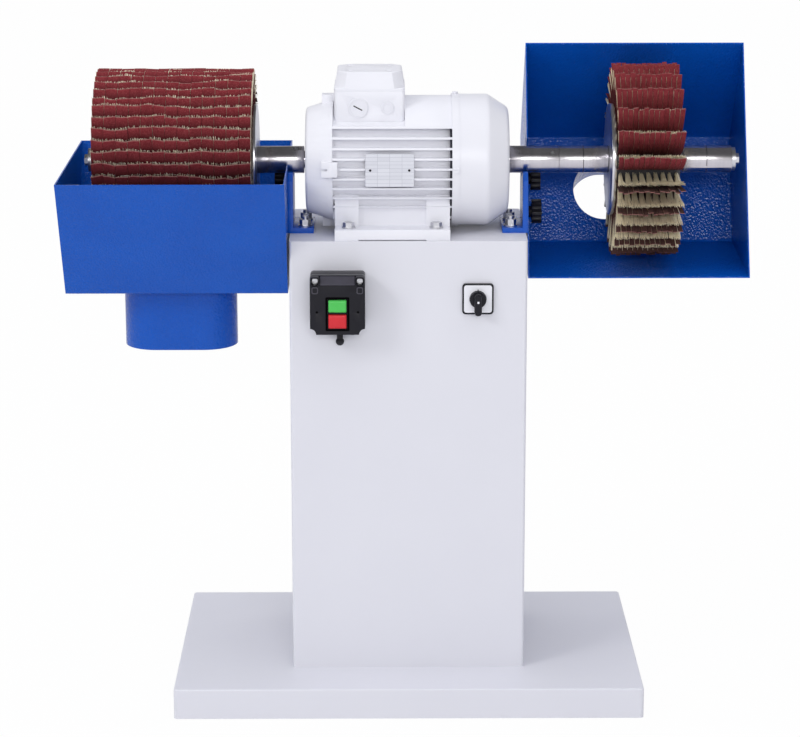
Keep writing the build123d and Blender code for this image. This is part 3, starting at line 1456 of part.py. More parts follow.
def starter_switch_unit():
    """Contact block on the rear wall of the starter, behind the buttons."""
    low = button_places()[1][0] - STOP_HEIGHT / 2
    return block(
        STARTER_X - SWITCH_WIDTH / 2,
        STARTER_X + SWITCH_WIDTH / 2,
        button_back() + SWITCH_FACE_GAP,
        FRONT - STARTER_WALL,
        low,
        low + SWITCH_HEIGHT,
    )


def button(index):
    """A push button: the part in the window and a flange behind the cover."""
    key = button_block(index, 0, STARTER_FRONT - BUTTON_PROUD, button_back())
    flange_front = STARTER_FRONT + STARTER_WALL + SLIDE_GAP
    return key + button_block(index, BUTTON_LIP, flange_front, button_back())


def starter_gland():
    """Cable gland under the starter: a neck and a round closed cap."""
    x, y, z = gland_place()
    low = z - GLAND_LENGTH + GLAND_CAP_RADIUS
    neck = upright_pin(GLAND_RADIUS, x, y, low, z + STARTER_WALL)
    return neck + Pos(x, y, low) * Sphere(GLAND_CAP_RADIUS)


def selector_block(side, corner, front, back):
    """A square block of the selector between two places in depth."""
    upright = Rot(90, 0, 0) * extrude(RectangleRounded(side, side, corner), back - front)
    return Pos(SELECTOR_X, back, SELECTOR_Z) * upright


def selector_plate():
    """Square front plate with a sunk field and the spindle hole."""
    face = FRONT - SELECTOR_PLATE
    plate = selector_block(SELECTOR_SIDE, SELECTOR_CORNER, face, FRONT)
    plate -= selector_block(
        SELECTOR_PANEL_SIDE, SELECTOR_CORNER / 2, face - OVERRUN, face + SELECTOR_PANEL_SINK
    )
    spindle = SELECTOR_SPINDLE_RADIUS + BOLT_CLEARANCE
    return plate - deep_pin(spindle, SELECTOR_X, SELECTOR_Z, face - OVERRUN, FRONT + OVERRUN)


def selector_body():
    """Cam switch behind the cabinet front."""
    start = FRONT + CABINET_SHEET
    body = selector_block(SELECTOR_BODY_SIDE, SELECTOR_CORNER, start, start + SELECTOR_BODY_DEPTH)
    spindle = SELECTOR_SPINDLE_RADIUS + SEAT_CLEARANCE
    room = SELECTOR_SPINDLE_DEPTH + BORE_BOTTOM_GAP
    return body - deep_pin(spindle, SELECTOR_X, SELECTOR_Z, start - OVERRUN, start + room)


def selector_knob():
    """Knob with a round hub, a grip bar that hangs down and a spindle."""
    seat = FRONT - SELECTOR_PLATE + SELECTOR_PANEL_SINK - SLIDE_GAP
    hub_face = seat - SELECTOR_HUB
    grip_face = hub_face - SELECTOR_GRIP
    knob = deep_pin(SELECTOR_HUB_RADIUS, SELECTOR_X, SELECTOR_Z, hub_face, seat)
    half = SELECTOR_GRIP_WIDTH / 2
    knob += block(
        SELECTOR_X - half,
        SELECTOR_X + half,
        grip_face,
        hub_face,
        SELECTOR_Z - SELECTOR_GRIP_REACH,
        SELECTOR_Z + SELECTOR_HUB_RADIUS,
    )
    spindle_end = FRONT + CABINET_SHEET + SELECTOR_SPINDLE_DEPTH
    return knob + deep_pin(SELECTOR_SPINDLE_RADIUS, SELECTOR_X, SELECTOR_Z, hub_face, spindle_end)


PARTS = {
    "base_plate": base_plate(),
    "cabinet_shell": cabinet_shell(),
    "cabinet_top_plate": cabinet_top_plate(),
    "rear_cover": rear_cover(),
    "rear_cover_screws": rear_cover_screws(),
    "left_hood_bracket": left_bracket(),
    "right_hood_bracket": right_bracket(),
    "bracket_bolts": bracket_bolts(),
    "motor_housing": motor_housing(),
    "drive_end_shield": drive_end_shield(),
    "fan_end_shield": fan_end_shield(),
    "motor_screws": motor_screws(),
    "stator_core": stator_core(),
    "stator_windings": stator_windings(),
    "bearing_outer_rings": bearing_outer_rings(),
    "bearing_inner_rings": bearing_inner_rings(),
    "motor_shaft": motor_shaft(),
    "rotor_core": rotor_core(),
    "cooling_fan": cooling_fan(),
    "fan_cowl": fan_cowl(),
    "terminal_box": terminal_box(),
    "terminal_lid": terminal_lid(),
    "terminal_plugs": terminal_plugs(),
    "terminal_block": terminal_block(),
    "rating_plate": rating_plate(),
    "motor_foot_bolts": motor_foot_bolts(),
    "left_arbor": left_arbor(),
    "right_arbor": right_arbor(),
    "arbor_fasteners": arbor_fasteners(),
    "wheel_spacers": wheel_spacers(),
    "roller_flange": roller_flange(),
    "roller_core": roller_core(),
    "roller_abrasive_strips": roller_abrasive_strips(),
    "roller_bristles": roller_bristles(),
    "wheel_flanges": wheel_flanges(),
    "wheel_core": wheel_core(),
    "wheel_abrasive_strips": wheel_abrasive_strips(),
    "wheel_bristles": wheel_bristles(),
    "left_hood_wrap": left_hood(hood_wrap()),
    "left_hood_near_wall": left_hood(hood_near_wall()),
    "left_hood_far_wall": left_hood(hood_far_wall()),
    "left_hood_spigot": left_hood(hood_spigot()),
    "right_hood_wrap": right_hood(hood_wrap()),
    "right_hood_near_wall": right_hood(hood_near_wall()),
    "right_hood_far_wall": right_hood(hood_far_wall()),
    "right_hood_spigot": right_hood(hood_spigot()),
    "left_upper_knob": knob_at(0, True),
    "left_lower_knob": knob_at(1, True),
    "right_upper_knob": knob_at(0, False),
    "right_lower_knob": knob_at(1, False),
    "starter_base": starter_base(),
    "starter_cover": starter_cover(),
    "starter_screws": starter_screws(),
    "starter_switch_unit": starter_switch_unit(),
    "starter_gland": starter_gland(),
    "start_button": button(0),
    "stop_button": button(1),
    "selector_plate": selector_plate(),
    "selector_body": selector_body(),
    "selector_knob": selector_knob(),
}

os.makedirs("parts", exist_ok=True)
for name, shape in PARTS.items():
    export_step(shape, f"parts/{name}.step")
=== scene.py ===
import json
import math

import bmesh
import bpy
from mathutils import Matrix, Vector

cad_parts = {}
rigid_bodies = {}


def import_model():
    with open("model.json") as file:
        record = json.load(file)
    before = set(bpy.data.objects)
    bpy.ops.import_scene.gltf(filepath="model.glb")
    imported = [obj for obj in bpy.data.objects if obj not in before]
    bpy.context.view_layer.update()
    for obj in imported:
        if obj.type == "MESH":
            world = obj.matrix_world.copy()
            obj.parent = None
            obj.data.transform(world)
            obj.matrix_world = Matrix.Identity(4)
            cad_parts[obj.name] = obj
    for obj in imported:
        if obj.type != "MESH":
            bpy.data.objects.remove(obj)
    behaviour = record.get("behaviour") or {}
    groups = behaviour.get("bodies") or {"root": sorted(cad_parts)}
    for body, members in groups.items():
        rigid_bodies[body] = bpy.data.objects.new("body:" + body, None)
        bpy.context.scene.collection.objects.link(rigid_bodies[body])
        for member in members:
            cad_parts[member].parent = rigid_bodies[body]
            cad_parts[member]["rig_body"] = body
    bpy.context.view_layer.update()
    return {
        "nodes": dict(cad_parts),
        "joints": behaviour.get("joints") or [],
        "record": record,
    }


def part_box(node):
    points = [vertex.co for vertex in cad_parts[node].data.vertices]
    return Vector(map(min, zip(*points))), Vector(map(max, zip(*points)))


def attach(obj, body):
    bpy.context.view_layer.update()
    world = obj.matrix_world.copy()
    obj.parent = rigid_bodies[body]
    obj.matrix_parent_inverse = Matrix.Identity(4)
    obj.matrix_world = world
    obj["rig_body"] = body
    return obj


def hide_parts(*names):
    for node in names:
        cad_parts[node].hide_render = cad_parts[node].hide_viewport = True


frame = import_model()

# Looks of the sanding and polishing machine, built round its solids.
# Lengths are metres in the solids' own frame; a name that ends in mm is in millimetres.

NODES = frame["nodes"]
JOINTS = {joint["name"]: joint for joint in frame["joints"]}
SLOT_OF = {part["node"]: part["material_slot"] for part in frame["record"]["subparts"]}
MM = 0.001
SEED = 11
SHAFT = Vector(JOINTS["rotor_spin"]["pos_m"])
SHAFT_LINE = Vector((0, SHAFT.y, SHAFT.z))
WHITE = (1.0, 1.0, 1.0, 1.0)


def srgb(code):
    """Linear colour of an sRGB hex value."""
    channels = [int(code[place : place + 2], 16) / 255 for place in (1, 3, 5)]
    return (*[c / 12.92 if c <= 0.04045 else ((c + 0.055) / 1.055) ** 2.4 for c in channels], 1.0)


def add(tree, kind, *feeds, **more):
    """Add a node. Its kind may name an operation after a dot. Feeds fill its inputs in order; more sets
    properties by small names, inputs by capital names, and inputs by number as at_N."""
    # A colour mix has its colours at inputs 6 and 7 and its result at output 2.
    # A random value has its range at inputs 2 and 3 and its number at output 1.
    kind, _, operation = kind.partition(".")
    made = tree.nodes.new(kind)
    if operation:
        made.operation = operation
    wired = dict(enumerate(feeds))
    for name, value in more.items():
        if name.startswith("at_"):
            wired[int(name[3:])] = value
        elif name[0].isupper():
            wired[name.replace("_", " ")] = value
        else:
            setattr(made, name, value)
    for name, value in wired.items():
        if isinstance(value, bpy.types.Node):
            value = value.outputs[0]
        if isinstance(value, bpy.types.NodeSocket):
            tree.links.new(value, made.inputs[name])
        elif value is not None:
            made.inputs[name].default_value = value
    return made


# Materials


def start_material(name):
    """A new material, its tree and its place in millimetres."""
    made = bpy.data.materials.new(name)
    made.use_nodes = True
    tree = made.node_tree
    tree.nodes.clear()
    place = add(tree, "ShaderNodeTexCoord")
    return made, tree, add(tree, "ShaderNodeVectorMath.SCALE", place.outputs["Object"], Scale=1 / MM)


def close_material(tree, relief, depth_mm, **sockets):
    """End a material with its shader, raised by a relief of some depth."""
    bump = add(tree, "ShaderNodeBump", Height=relief, Distance=depth_mm * MM)
    shader = add(tree, "ShaderNodeBsdfPrincipled", Normal=bump, **sockets)
    add(tree, "ShaderNodeOutputMaterial", Surface=shader)


def mottled(name, light, dark, patch_mm, grain_mm, depth_mm, **sockets):
    """A finish of two near tones in soft patches, with a fine grain in relief."""
    made, tree, place = start_material(name)
    patch = add(tree, "ShaderNodeTexNoise", place, Scale=1 / patch_mm, Detail=3.0)
    tone = add(tree, "ShaderNodeMix", patch, data_type="RGBA", at_6=srgb(light), at_7=srgb(dark))
    grain = add(tree, "ShaderNodeTexNoise", place, Scale=1 / grain_mm, Detail=2.0)
    close_material(tree, grain, depth_mm, Base_Color=tone.outputs[2], **sockets)
    return made


def powder_coat():
    """Grey powder coat on folded sheet: satin, its orange peel drawn twice as coarse as real to show."""
    return mottled(
        "powder_coated_sheet", "#E2E2E8", "#DCDCE3", patch_mm=220, grain_mm=2.4, depth_mm=0.03,
        Roughness=0.45, IOR=1.5,
    )


def casting_enamel():
    """Grey-white enamel on an aluminium casting: satin over the soft grain of the mould."""
    return mottled(
        "enamelled_casting", "#EEEEF3", "#E7E7ED", patch_mm=60, grain_mm=1.8, depth_mm=0.05,
        Roughness=0.46, IOR=1.5,
    )


def cowl_enamel():
    """The same enamel on drawn sheet: smoother and a little glossier."""
    return mottled(
        "enamelled_cowl", "#EBEBF0", "#E4E4EA", patch_mm=90, grain_mm=3.0, depth_mm=0.02,
        Roughness=0.36, IOR=1.5,
    )


def bracket_enamel():
    """Blue gloss enamel on thick plate: shiny and not quite even."""
    return mottled(
        "blue_gloss_enamel", "#0A5AC4", "#084EB4", patch_mm=30, grain_mm=2.5, depth_mm=0.03,
        Roughness=0.26, IOR=1.45,
    )


def hammer_paint():
    """Blue hammer-finish paint on sheet: shallow dimples that sparkle towards a light, drawn 3.8 mm wide
    to show."""
    cloud_mm = 90
    dimple_mm = 3.8
    made, tree, place = start_material("blue_hammer_paint")
    cloud = add(tree, "ShaderNodeTexNoise", place, Scale=1 / cloud_mm, Detail=3.0)
    tone = add(tree, "ShaderNodeMix", cloud, data_type="RGBA", at_6=srgb("#0858BE"), at_7=srgb("#054CAE"))
    dimple = add(tree, "ShaderNodeTexVoronoi", place, Scale=1 / dimple_mm, feature="F1")
    close_material(
        tree, dimple, depth_mm=0.8, Base_Color=tone.outputs[2],
        Roughness=0.15, IOR=1.45, Specular_IOR_Level=0.36,
    )
    return made


def turned_metal(name, light, dark, roughness):
    """Bare metal off the lathe: fine rings round the shaft line, drawn 1.2 mm apart to show."""
    ring_mm = 1.2
    stretch = 0.02
    made, tree, place = start_material(name)
    stretched = add(tree, "ShaderNodeMapping", place, Scale=(1.0, stretch, stretch))
    rings = add(tree, "ShaderNodeTexNoise", stretched, Scale=1 / ring_mm, Detail=2.0)
    tone = add(tree, "ShaderNodeMix", rings, data_type="RGBA", at_6=srgb(light), at_7=srgb(dark))
    close_material(
        tree, rings, depth_mm=0.012, Base_Color=tone.outputs[2], Metallic=1.0, Roughness=roughness
    )
    return made


def zinc_plate():
    """Bright zinc on small hardware: grey metal with a faint spangle."""
    return mottled(
        "zinc_plated_steel", "#DADADC", "#C2C2C6", patch_mm=6, grain_mm=0.8, depth_mm=0.01,
        Metallic=1.0, Roughness=0.34,
    )


def varnished_laminations():
    """Steel core under varnish: dark grey with a dull, uneven gleam."""
    return mottled(
        "varnished_laminations", "#55555A", "#3C3C42", patch_mm=4, grain_mm=0.7, depth_mm=0.03,
        Metallic=0.6, Roughness=0.5,
    )


def varnished_wire():
    """Copper wire under amber varnish: brown, with a bumpy gleam."""
    return mottled(
        "varnished_copper_wire", "#A8643A", "#7E4424", patch_mm=3, grain_mm=1.0, depth_mm=0.2,
        Metallic=0.7, Roughness=0.4,
    )


def abrasive_cloth():
    """Red-brown grit on cloth: matt and speckled, with painted shade that darkens it from the tips towards
    the root, where the rows shade each other; the grit drawn at 1.4 mm so that it shows."""
    patch_mm = 28
    grit_mm = 1.4
    shaded = srgb("#220B0D")
    made, tree, place = start_material("aluminium_oxide_cloth")
    patch = add(tree, "ShaderNodeTexNoise", place, Scale=1 / patch_mm, Detail=4.0, Roughness=0.65)
    broad = add(tree, "ShaderNodeMix", patch, data_type="RGBA", at_6=srgb("#862C33"), at_7=srgb("#601C21"))
    grit = add(tree, "ShaderNodeTexNoise", place, Scale=1 / grit_mm, Detail=3.0)
    speck = add(tree, "ShaderNodeMapRange", grit, From_Min=0.45, From_Max=0.75)
    face = add(tree, "ShaderNodeMix", speck, data_type="RGBA", at_6=broad.outputs[2], at_7=srgb("#A0494C"))
    # painted shade: the face darkens towards the root by the stored share of painted light
    painted_tip_light = add(tree, "ShaderNodeAttribute", attribute_name="painted_tip_light").outputs["Fac"]
    tone = add(tree, "ShaderNodeMix", painted_tip_light, data_type="RGBA", at_6=shaded, at_7=face.outputs[2])
    close_material(
        tree, grit, depth_mm=0.25, Base_Color=tone.outputs[2], Roughness=0.85, Specular_IOR_Level=0.15
    )
    return made


def cloth_back_painted_shade():
    """Bare back of the abrasive cloth: rough, its dull brown darkened with painted shade for the hanging
    ends that face down.
    """
    return mottled(
        "abrasive_cloth_back_painted_shade", "#4C2B27", "#38201D", patch_mm=12, grain_mm=1.5, depth_mm=0.15, Roughness=0.9
    )


def cloth_edge():
    """Cut edge of the abrasive cloth: paler than its face and uneven."""
    return mottled(
        "abrasive_cloth_edge", "#A07068", "#6A3C3A", patch_mm=5, grain_mm=1.2, depth_mm=0.1, Roughness=0.9
    )


def plant_fibre():
    """Stiff plant-fibre bristles: cream and dry, their tone changing every few strands."""
    return mottled(
        "tampico_fibre", "#FFF8E2", "#EFE3BF", patch_mm=2.2, grain_mm=1.0, depth_mm=0.05, Roughness=0.7
    )


def moulded(name, light, dark, roughness):
    """Injection-moulded plastic or rubber with a faint spark-eroded grain, drawn at 1 mm to show."""
    return mottled(
        name, light, dark, patch_mm=25, grain_mm=1.0, depth_mm=0.02,
        Roughness=roughness, IOR=1.46, Specular_IOR_Level=0.3,
    )


def gasket_and_painted_shade():
    """Matt black rubber round the buttons, almost without shine so that it also paints the shade of their
    recess; the same black paints shade in two blind holes.
    """
    return mottled(
        "matt_black_gasket_and_painted_shade", "#060608", "#020203", patch_mm=8, grain_mm=1.0, depth_mm=0.05,
        Roughness=0.9, Specular_IOR_Level=0.05,
    )


def ruled_plate():
    """Pale anodised plate with a bare ruled table, as rating plates have before they are stamped."""
    cell_mm = 19.5
    row_mm = 5.9
    line_mm = 0.3
    made, tree, place = start_material("anodised_rating_plate")
    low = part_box("rating_plate")[0]
    spot = add(tree, "ShaderNodeVectorMath.SUBTRACT", place, tuple(low / MM))
    spot = add(tree, "ShaderNodeSeparateXYZ", spot)
    spot = add(tree, "ShaderNodeCombineXYZ", spot.outputs["X"], spot.outputs["Z"], 0.0)
    table = add(
        tree, "ShaderNodeTexBrick", spot, srgb("#DCDDE3"), srgb("#D2D3DA"), srgb("#B2B4BD"), Scale=1.0,
        Brick_Width=cell_mm, Row_Height=row_mm, Mortar_Size=line_mm, Mortar_Smooth=0.5,
        offset=0.0, squash=1.0,
    )
    close_material(
        tree, table.outputs["Fac"], depth_mm=-0.05, Base_Color=table.outputs["Color"],
        Metallic=0.15, Roughness=0.4,
    )
    return made


# Finishes by the record's material slots, and those of a few small pieces.
FINISHES = {
    "cabinet_paint": powder_coat(),
    "hood_paint": hammer_paint(),
    "bracket_paint": bracket_enamel(),
    "cowl_paint": cowl_enamel(),
    "motor_casting": casting_enamel(),
    "turned_steel": turned_metal("turned_steel", "#DCD8DB", "#BEBABF", roughness=0.27),
    "zinc_fasteners": zinc_plate(),
    "laminations": varnished_laminations(),
    "windings": varnished_wire(),
    "turned_aluminium": turned_metal("turned_aluminium", "#DEDEE2", "#C9C9CE", roughness=0.28),
    "abrasive_cloth": abrasive_cloth(),
    "brush_fibre": plant_fibre(),
    "black_plastic": moulded("black_abs", "#17161F", "#100F16", roughness=0.36),
    "grey_plastic": moulded("grey_abs", "#ECECF1", "#E5E5EB", roughness=0.45),
    "white_plastic": moulded("white_abs", "#F2F2F6", "#EAEAF0", roughness=0.4),
    "green_plastic": moulded("green_abs", "#58C860", "#48B850", roughness=0.3),
    "red_plastic": moulded("red_abs", "#D8323A", "#C42830", roughness=0.3),
    "black_rubber": moulded("black_rubber", "#26252A", "#1C1B20", roughness=0.6),
}
# A lighter black that paints the highlight on the starter's top slope and lugs, where they catch the light.
PAINTED_HIGHLIGHT_BLACK = moulded("painted_highlight_black_abs", "#4E4C56", "#3C3A42", roughness=0.5)
UNLIT_GAP = moulded("unlit_gap", "#3A3A44", "#2A2A32", roughness=0.8)
# Near-black rubber for the button frame, partly painted shade of their recess, and painted shade in two
# blind holes.
BLACK_GASKET_AND_SHADE = gasket_and_painted_shade()


# Pieces

MERGE = 0.002 * MM
FLAT_WITHIN = math.radians(1.5)
BEVEL_OVER = math.radians(38)
BEVEL_SHARP_OVER = math.radians(32)
SHARP_OVER = math.radians(35)
CORNER_STEPS = 6


def piece_of(name, mesh, body, slot, *replaced):
    """A finished piece at the origin that rides on a body and stands for some nodes."""
    piece = bpy.data.objects.new(name, mesh)
    bpy.context.scene.collection.objects.link(piece)
    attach(piece, body)
    if replaced:
        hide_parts(*replaced)


def closed_mesh(name, work, finish):
    """The mesh of a closed shape: merged, faced outwards and smooth but for its edges."""
    bmesh.ops.remove_doubles(work, verts=work.verts, dist=MERGE)
    bmesh.ops.recalc_face_normals(work, faces=work.faces)
    mesh = bpy.data.meshes.new(name)
    work.to_mesh(mesh)
    work.free()
    mesh.materials.append(finish)
    mesh.shade_smooth()
    mesh.set_sharp_from_angle(angle=SHARP_OVER)
    return mesh


def rounded_loop(x, z, half_width, half_height, corner, turn=0.0):
    """Points round a rounded rectangle in front view, turned about its middle."""
    points = []
    for quarter, (side, rise) in enumerate(((1, 1), (-1, 1), (-1, -1), (1, -1))):
        for step in range(CORNER_STEPS + 1):
            angle = (quarter + step / CORNER_STEPS) * math.pi / 2
            across = side * (half_width - corner) + corner * math.cos(angle)
            up = rise * (half_height - corner) + corner * math.sin(angle)
            turned_across = across * math.cos(turn) - up * math.sin(turn)
            turned_up = across * math.sin(turn) + up * math.cos(turn)
            points.append((x + turned_across, z + turned_up))
    return points


def disc(x, z, radius):
    """Points round a circle in front view."""
    return rounded_loop(x, z, radius, radius, radius)


def turned_sections(x, z, front, profile_mm):
    """Circles at their depths for a turned shape, from pairs of radius and rise over its front."""
    return [(disc(x, z, radius * MM), front - rise * MM) for radius, rise in profile_mm]


def frame_sections(outer, inner, back, front):
    """Loops at their depths for a flat frame between an outer and an inner outline."""
    return [(outer, back), (outer, front), (inner, front), (inner, back)]


def panel(name, sections, body, slot, *replaced, finish=None, ring=False):
    """A small piece through front-view loops at given depths, capped, or closed on itself as a ring."""
    work = bmesh.new()
    loops = [[work.verts.new((x, y, z)) for x, z in loop] for loop, y in sections]
    following = loops[1:] + loops[:1] if ring else loops[1:]
    for one, other in zip(loops, following):
        for place in range(len(one)):
            work.faces.new((one[place - 1], one[place], other[place], other[place - 1]))
    if not ring:
        work.faces.new(loops[0])
        work.faces.new(loops[-1])
    mesh = closed_mesh(name, work, finish or FINISHES[slot])
    piece_of(name, mesh, body, slot, *replaced)


def round_rim(radius, steps):
    """Angles and radii round a plain ring."""
    return [(2 * math.pi * step / steps, radius) for step in range(steps)]


def sleeve(name, start, end, inner, rim, finish):
    """A ring on the shaft line whose outside follows a rim of angles and radii."""
    work = bmesh.new()
    loops = []
    for x in (start, end):
        for use_inner in (False, True):
            loop = []
            for angle, radius in rim:
                reach = inner if use_inner else radius
                place = Vector((x, -reach * math.sin(angle), reach * math.cos(angle)))
                loop.append(work.verts.new(place + SHAFT_LINE))
            loops.append(loop)
    near_rim, near_bore, far_rim, far_bore = loops
    walls = ((near_rim, near_bore), (near_bore, far_bore), (far_bore, far_rim), (far_rim, near_rim))
    for one, other in walls:
        for place in range(len(rim)):
            after = (place + 1) % len(rim)
            work.faces.new((one[place], one[after], other[after], other[place]))
    return closed_mesh(name, work, finish)


def softened(node, width_mm, slot=None):
    """A merged copy of a node with its edges rounded as castings and mouldings are."""
    source = NODES[node]
    slot = slot or SLOT_OF[node]
    mesh = source.data.copy()
    work = bmesh.new()
    work.from_mesh(mesh)
    bmesh.ops.remove_doubles(work, verts=work.verts, dist=MERGE)
    bmesh.ops.dissolve_limit(
        work, angle_limit=FLAT_WITHIN, verts=work.verts, edges=work.edges, use_dissolve_boundaries=False
    )
    work.to_mesh(mesh)
    work.free()
    if mesh.has_custom_normals:
        mesh.attributes.remove(mesh.attributes["custom_normal"])
    draft = bpy.data.objects.new(node + "_draft", mesh)
    bpy.context.scene.collection.objects.link(draft)
    bevel = draft.modifiers.new("edges", "BEVEL")
    bevel.width = width_mm * MM
    bevel.segments = 2
    bevel.limit_method = "ANGLE"
    bevel.angle_limit = BEVEL_OVER
    bevel.use_clamp_overlap = True
    final = bpy.data.meshes.new_from_object(draft.evaluated_get(bpy.context.evaluated_depsgraph_get()))
    bpy.data.objects.remove(draft)
    final.materials.clear()
    final.materials.append(FINISHES[slot])
    final.shade_smooth()
    final.set_sharp_from_angle(angle=BEVEL_SHARP_OVER)
    piece_of(node + "_finish", final, source["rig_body"], slot, node)


SOFT_EDGES_MM = {
    "motor_housing": 0.9,
    "drive_end_shield": 1.2,
    "terminal_box": 1.0,
    "terminal_lid": 0.8,
    "terminal_plugs": 0.5,
    "left_hood_bracket": 0.8,
    "right_hood_bracket": 0.8,
    "left_upper_knob": 1.5,
    "left_lower_knob": 1.5,
    "right_upper_knob": 1.5,
    "right_lower_knob": 1.5,
    "starter_base": 1.0,
    "starter_cover": 1.4,
    "roller_flange": 0.8,
    "wheel_flanges": 0.8,
    "left_arbor": 0.6,
    "right_arbor": 0.6,
    "wheel_spacers": 0.5,
}


# Roller and wheel

# The backing round a drum's core, the depth and width of its slots, and the steps of its rim between two.
BACKING = 9 * MM
STRIP_ROOT = 6 * MM
STRIP_SLOT = 2.2 * MM
LAND_STEPS = 4
# The back of the cloth carries painted shade where the hanging ends face down.
CLOTH = {"Cloth": FINISHES["abrasive_cloth"], "Back": cloth_back_painted_shade(), "Edge": cloth_edge()}
# How far bristles end below the tips of the strips.
BRUSH_SHORTFALL = {"roller": 1.0 * MM, "wheel": 9.5 * MM}
ROLLER = {
    "Rows": 48, "Lean": 0.5, "Phase": 0.0, "Wave": 22 * MM, "Stray": 0.05, "Droop": 0.0, "Flare": 1.0 * MM,
}
# Among the strips' values, one gives the share of their length, from the tip in, that painted shade between
# the rows darkens.
ROLLER_STRIP = {
    "Fingers": 13, "Thickness": 1.4 * MM, "Slit": 0.6 * MM, "Twist": 0.06, "Painted Shade": 0.13,
    "Ragged": 0.5 * MM, "Patch": 5 * MM,
}
ROLLER_BRUSH = {
    "Tufts": 13, "Fibres": 20, "Fibre": 0.42 * MM, "Offset": 1.2 * MM,
    "Root Width": 17 * MM, "Tip Width": 21 * MM, "Root Depth": 3 * MM, "Tip Depth": 3 * MM,
    "Ragged": 0.6 * MM, "Patch": 16 * MM,
}
WHEEL = {"Rows": 24, "Lean": 0.2, "Phase": 0.29, "Wave": 9 * MM, "Stray": 0.22, "Patch": 3 * MM}
# Among the strips' values, one gives the share of their length, from the tip in, that painted shade between
# the rows darkens.
WHEEL_STRIP = {
    "Fingers": 13, "Thickness": 1.3 * MM, "Slit": 0.8 * MM, "Twist": 0.2, "Painted Shade": 0.6,
    "Ragged": 1.6 * MM, "Droop": 0.1, "Flare": 3.0 * MM,
}
WHEEL_BRUSH = {
    "Tufts": 9, "Fibres": 64, "Fibre": 0.42 * MM, "Offset": 1.2 * MM,
    "Root Width": 4.5 * MM, "Tip Width": 13 * MM, "Root Depth": 13 * MM, "Tip Depth": 2.5 * MM,
    "Ragged": 3.0 * MM, "Droop": 0.045, "Flare": 2.0 * MM,
}

# Inputs that strips and bristles share: rows round the shaft, the place along it, radii at root and tip,
# how far tips lean, hang, flare, wave and stray, and how far lengths differ, one by one and in patches.
WORKING_BODY = {
    "Rows": "Int", "Start": "Float", "Width": "Float", "Root": "Float", "Tip": "Float", "Lean": "Float",
    "Phase": "Float", "Droop": "Float", "Flare": "Float", "Wave": "Float", "Stray": "Float",
    "Ragged": "Float", "Patch": "Float", "Shaft": "Vector", "Seed": "Int",
}
# Scale of the waves along the shaft and from row to row, and of the patches.
WAVES_PER_METRE = 16.0
WAVES_PER_ROW = 0.73
PATCH_FIELD_SHIFT = (3.7, 1.9, 8.3)
PATCH_FIELD_SCALE = 1.3
NOISE_MIDDLE = 0.5
# Cosine of a row's angle from the top where its hang begins, and where it is full.
HANG_FROM = -0.04
HANG_FULL = -0.26
# A blade's points across, through and along it, its width at the root for a width of 1 at the tip, and the
# share of painted light left where its painted shade between the rows is deepest.
BLADE_POINTS = (3, 2, 9)
UNCUT_ROOT = 1.13
LEAST_PAINTED_LIGHT = 0.2
# A fibre's radius at the tip for a radius of 1 at the root.
FIBRE_TAPER = 0.7
# Each random draw adds its own number to the seed.
LENGTH_DRAW = 1.0
TWIST_DRAW = 2.0
SIDE_DRAW = 3.0
DEPTH_DRAW = 4.0


def node_group(name, inputs):
    """A geometry tree with named inputs, and its input sockets."""
    tree = bpy.data.node_groups.new(name, "GeometryNodeTree")
    for label, kind in inputs.items():
        tree.interface.new_socket(label, in_out="INPUT", socket_type="NodeSocket" + kind)
    tree.interface.new_socket("Geometry", in_out="OUTPUT", socket_type="NodeSocketGeometry")
    return tree, add(tree, "NodeGroupInput").outputs


def grown(tree, name, values):
    """The plain mesh that a geometry tree makes from some values."""
    host = bpy.data.objects.new(name + "_host", bpy.data.meshes.new(name))
    bpy.context.scene.collection.objects.link(host)
    modifier = host.modifiers.new("tree", "NODES")
    modifier.node_group = tree
    for item in tree.interface.items_tree:
        if item.in_out == "INPUT":
            modifier[item.identifier] = values[item.name]
    mesh = bpy.data.meshes.new_from_object(host.evaluated_get(bpy.context.evaluated_depsgraph_get()))
    bpy.data.objects.remove(host)
    mesh.name = name
    return mesh


